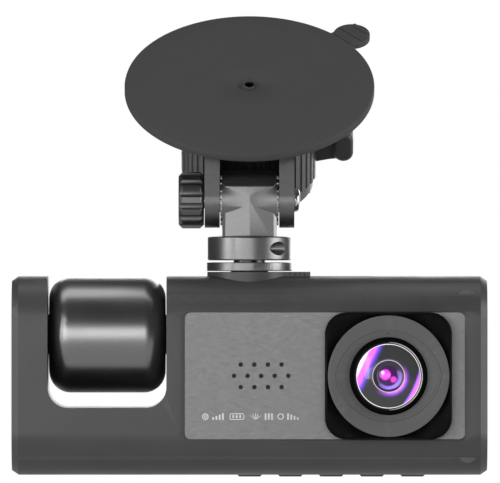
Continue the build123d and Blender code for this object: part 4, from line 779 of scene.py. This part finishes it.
def printWhite():
    material, tree, shader, where = startMaterial("printWhite", {"Specular IOR Level": 0.4})
    ink = useEffect(tree, "grain", where, Grain_Size=0.08, Patch_Size=2.0)
    tree.links.new(blendColour(tree, ink["Patch"], (0.72, 0.72, 0.72), (0.86, 0.86, 0.86)),
                   shader.inputs["Base Color"])
    tree.links.new(spread(tree, ink["Patch"], 0.45, 0.6), shader.inputs["Roughness"])
    return material


def ringMark(x, outer, inner, sides):
    ink = marks["ink"]
    ring = spinUp("mark", [(inner, 0), (outer, 0), (outer, ink), (inner, ink), (inner, 0)], sides)
    ring.location = (x * mm, marks["row"] * mm, 0)
    choose(ring)
    bpy.ops.object.transform_apply(location=True)
    return ring


def barMark(x, width, height, lift=0.0):
    spot = (x + width / 2, marks["row"] + lift, marks["ink"] / 2)
    return block(spot, (width, height, marks["ink"]), marks["inkEdge"], 1)


def barRow(x, sizes):
    # narrow bars side by side, each with its height and its lift
    return [barMark(x + i * marks["barPitch"], marks["barWidth"], height, lift)
            for i, (height, lift) in enumerate(sizes)]


def fanMark(x, radius, half):
    # a view-angle fan of thin rays
    rays = []
    size = (radius, marks["rayWidth"], marks["ink"])
    for step in range(-2, 3):
        ray = block((radius / 2, 0, marks["ink"] / 2), size, marks["rayEdge"], 1)
        ray.rotation_euler = (0, 0, turn(90 + step * half / 2))
        ray.location = (x * mm, (marks["row"] - marks["height"] / 2) * mm, 0)
        choose(ray)
        bpy.ops.object.transform_apply(location=True, rotation=True)
        rays.append(ray)
    return rays


def frameMark(x):
    # an outlined box with three short bars in it
    h, width, line = marks["height"], marks["frameWidth"], marks["frameLine"]
    sides = [barMark(x, width, line, (h - line) / 2), barMark(x, width, line, (line - h) / 2)]
    sides += [barMark(x, line, h), barMark(x + width - line, line, h)]
    first = x + marks["insetFrom"]
    return sides + [barMark(first + i * marks["insetPitch"], marks["insetWidth"], h * marks["insetShare"])
                    for i in range(3)]


def makeMarks():
    h = marks["height"]
    pieces = [ringMark(marks["iris"], *marks["irisRadii"], 32)]
    pieces += [ringMark(marks["iris"], *marks["hexagonRadii"], 6)]
    pieces += barRow(marks["rising"], [(h * (0.4 + 0.2 * i), h * (0.1 * i - 0.3)) for i in range(4)])
    pieces += frameMark(marks["frame"])
    pieces += fanMark(marks["fan"], marks["fanLength"], marks["fanHalf"])
    pieces += barRow(marks["tallBars"], [(h, 0.0)] * 3)
    pieces += [ringMark(marks["ring"], *marks["ringRadii"], 32)]
    pieces += barRow(marks["falling"], [(h * (1.0 - 0.2 * i), -h * 0.1 * i) for i in range(4)])
    marked = joinUp("panelMarks", pieces)
    place(marked, (0, hingePoint.y - (marks["face"] - marks["inSurface"]) * mm, barTop), toRoad)
    settle(marked, printWhite(), "camera", "panel_grey")


makeMarks()
print("printed marks ready")

studio = {
    "frameWidth": 116.43 * mm, "distance": 3.0, "aimX": 0.12 * mm, "aimZ": -36.58 * mm,
    "floorDrop": 60 * mm, "floorRadius": 2.2, "fill": 0.08, "farthest": 20,
    # name, azimuth, elevation, distance, width, height, glow
    "softboxes": [
        ("frontBox", -12, -8, 1.0, 0.9, 0.75, 2.8),
        ("topBox", 0, 92, 0.8, 1.2, 0.35, 1.7),
        ("leftBox", -62, 0, 0.9, 0.35, 0.9, 4.5),
        ("leftStrip", -36, 4, 0.95, 0.12, 0.9, 4.0),
        ("rightBox", 78, 0, 0.9, 0.5, 0.9, 5.0),
        ("backBox", 170, 12, 1.0, 0.9, 0.7, 2.6),
    ],
}


def softbox(name, azimuth, elevation, distance, width, height, glow):
    # a rectangle of light facing the object; azimuth 0 is the road side
    light = bpy.data.lights.new(name, "AREA")
    light.shape = "RECTANGLE"
    light.size, light.size_y = width, height
    light.energy = glow * math.pi * width * height
    lamp = bpy.data.objects.new(name, light)
    bpy.context.scene.collection.objects.link(lamp)
    a, e = turn(azimuth), turn(elevation)
    away = Vector((math.sin(a) * math.cos(e), -math.cos(a) * math.cos(e), math.sin(e)))
    lamp.location = Vector((studio["aimX"], hingePoint.y, studio["aimZ"])) + away * distance
    lamp.rotation_euler = away.to_track_quat("Z", "Y").to_euler()
    lamp.visible_camera = False


def makeStudio():
    scene = bpy.context.scene
    scene.view_settings.view_transform = "Standard"
    clearSelection()
    bpy.ops.mesh.primitive_circle_add(vertices=64, radius=studio["floorRadius"], fill_type="NGON",
                                      location=(0, 0, cadLow.z - studio["floorDrop"]))
    floor = bpy.context.object
    floor.name = "studioFloor"
    pale = bpy.data.materials.new("paleFloor")
    pale.use_nodes = True
    shader = pale.node_tree.nodes["Principled BSDF"]
    shader.inputs["Base Color"].default_value = (0.8, 0.8, 0.8, 1)
    shader.inputs["Roughness"].default_value = 0.8
    floor.data.materials.append(pale)
    world = bpy.data.worlds.new("softWorld")
    scene.world = world
    world.use_nodes = True
    tree = world.node_tree
    background = tree.nodes["Background"]
    background.inputs["Color"].default_value = (1, 1, 1, 1)
    ray = addNode(tree, "ShaderNodeLightPath")
    strength = addNode(tree, "ShaderNodeMapRange")
    strength.inputs["To Min"].default_value = studio["fill"]
    strength.inputs["To Max"].default_value = 1.0
    tree.links.new(ray.outputs["Is Camera Ray"], strength.inputs["Value"])
    tree.links.new(strength.outputs["Result"], background.inputs["Strength"])
    for name, *numbers in studio["softboxes"]:
        softbox(name, *numbers)
    camera = bpy.data.cameras.new("frontCamera")
    camera.lens = camera.sensor_width * studio["distance"] / studio["frameWidth"]
    camera.clip_end = studio["farthest"]
    holder = bpy.data.objects.new("frontCamera", camera)
    scene.collection.objects.link(holder)
    holder.location = (studio["aimX"], -studio["distance"], studio["aimZ"])
    holder.rotation_euler = (toRoad, 0, 0)  # level, looking at the road side
    scene.camera = holder


makeStudio()
print("studio ready")
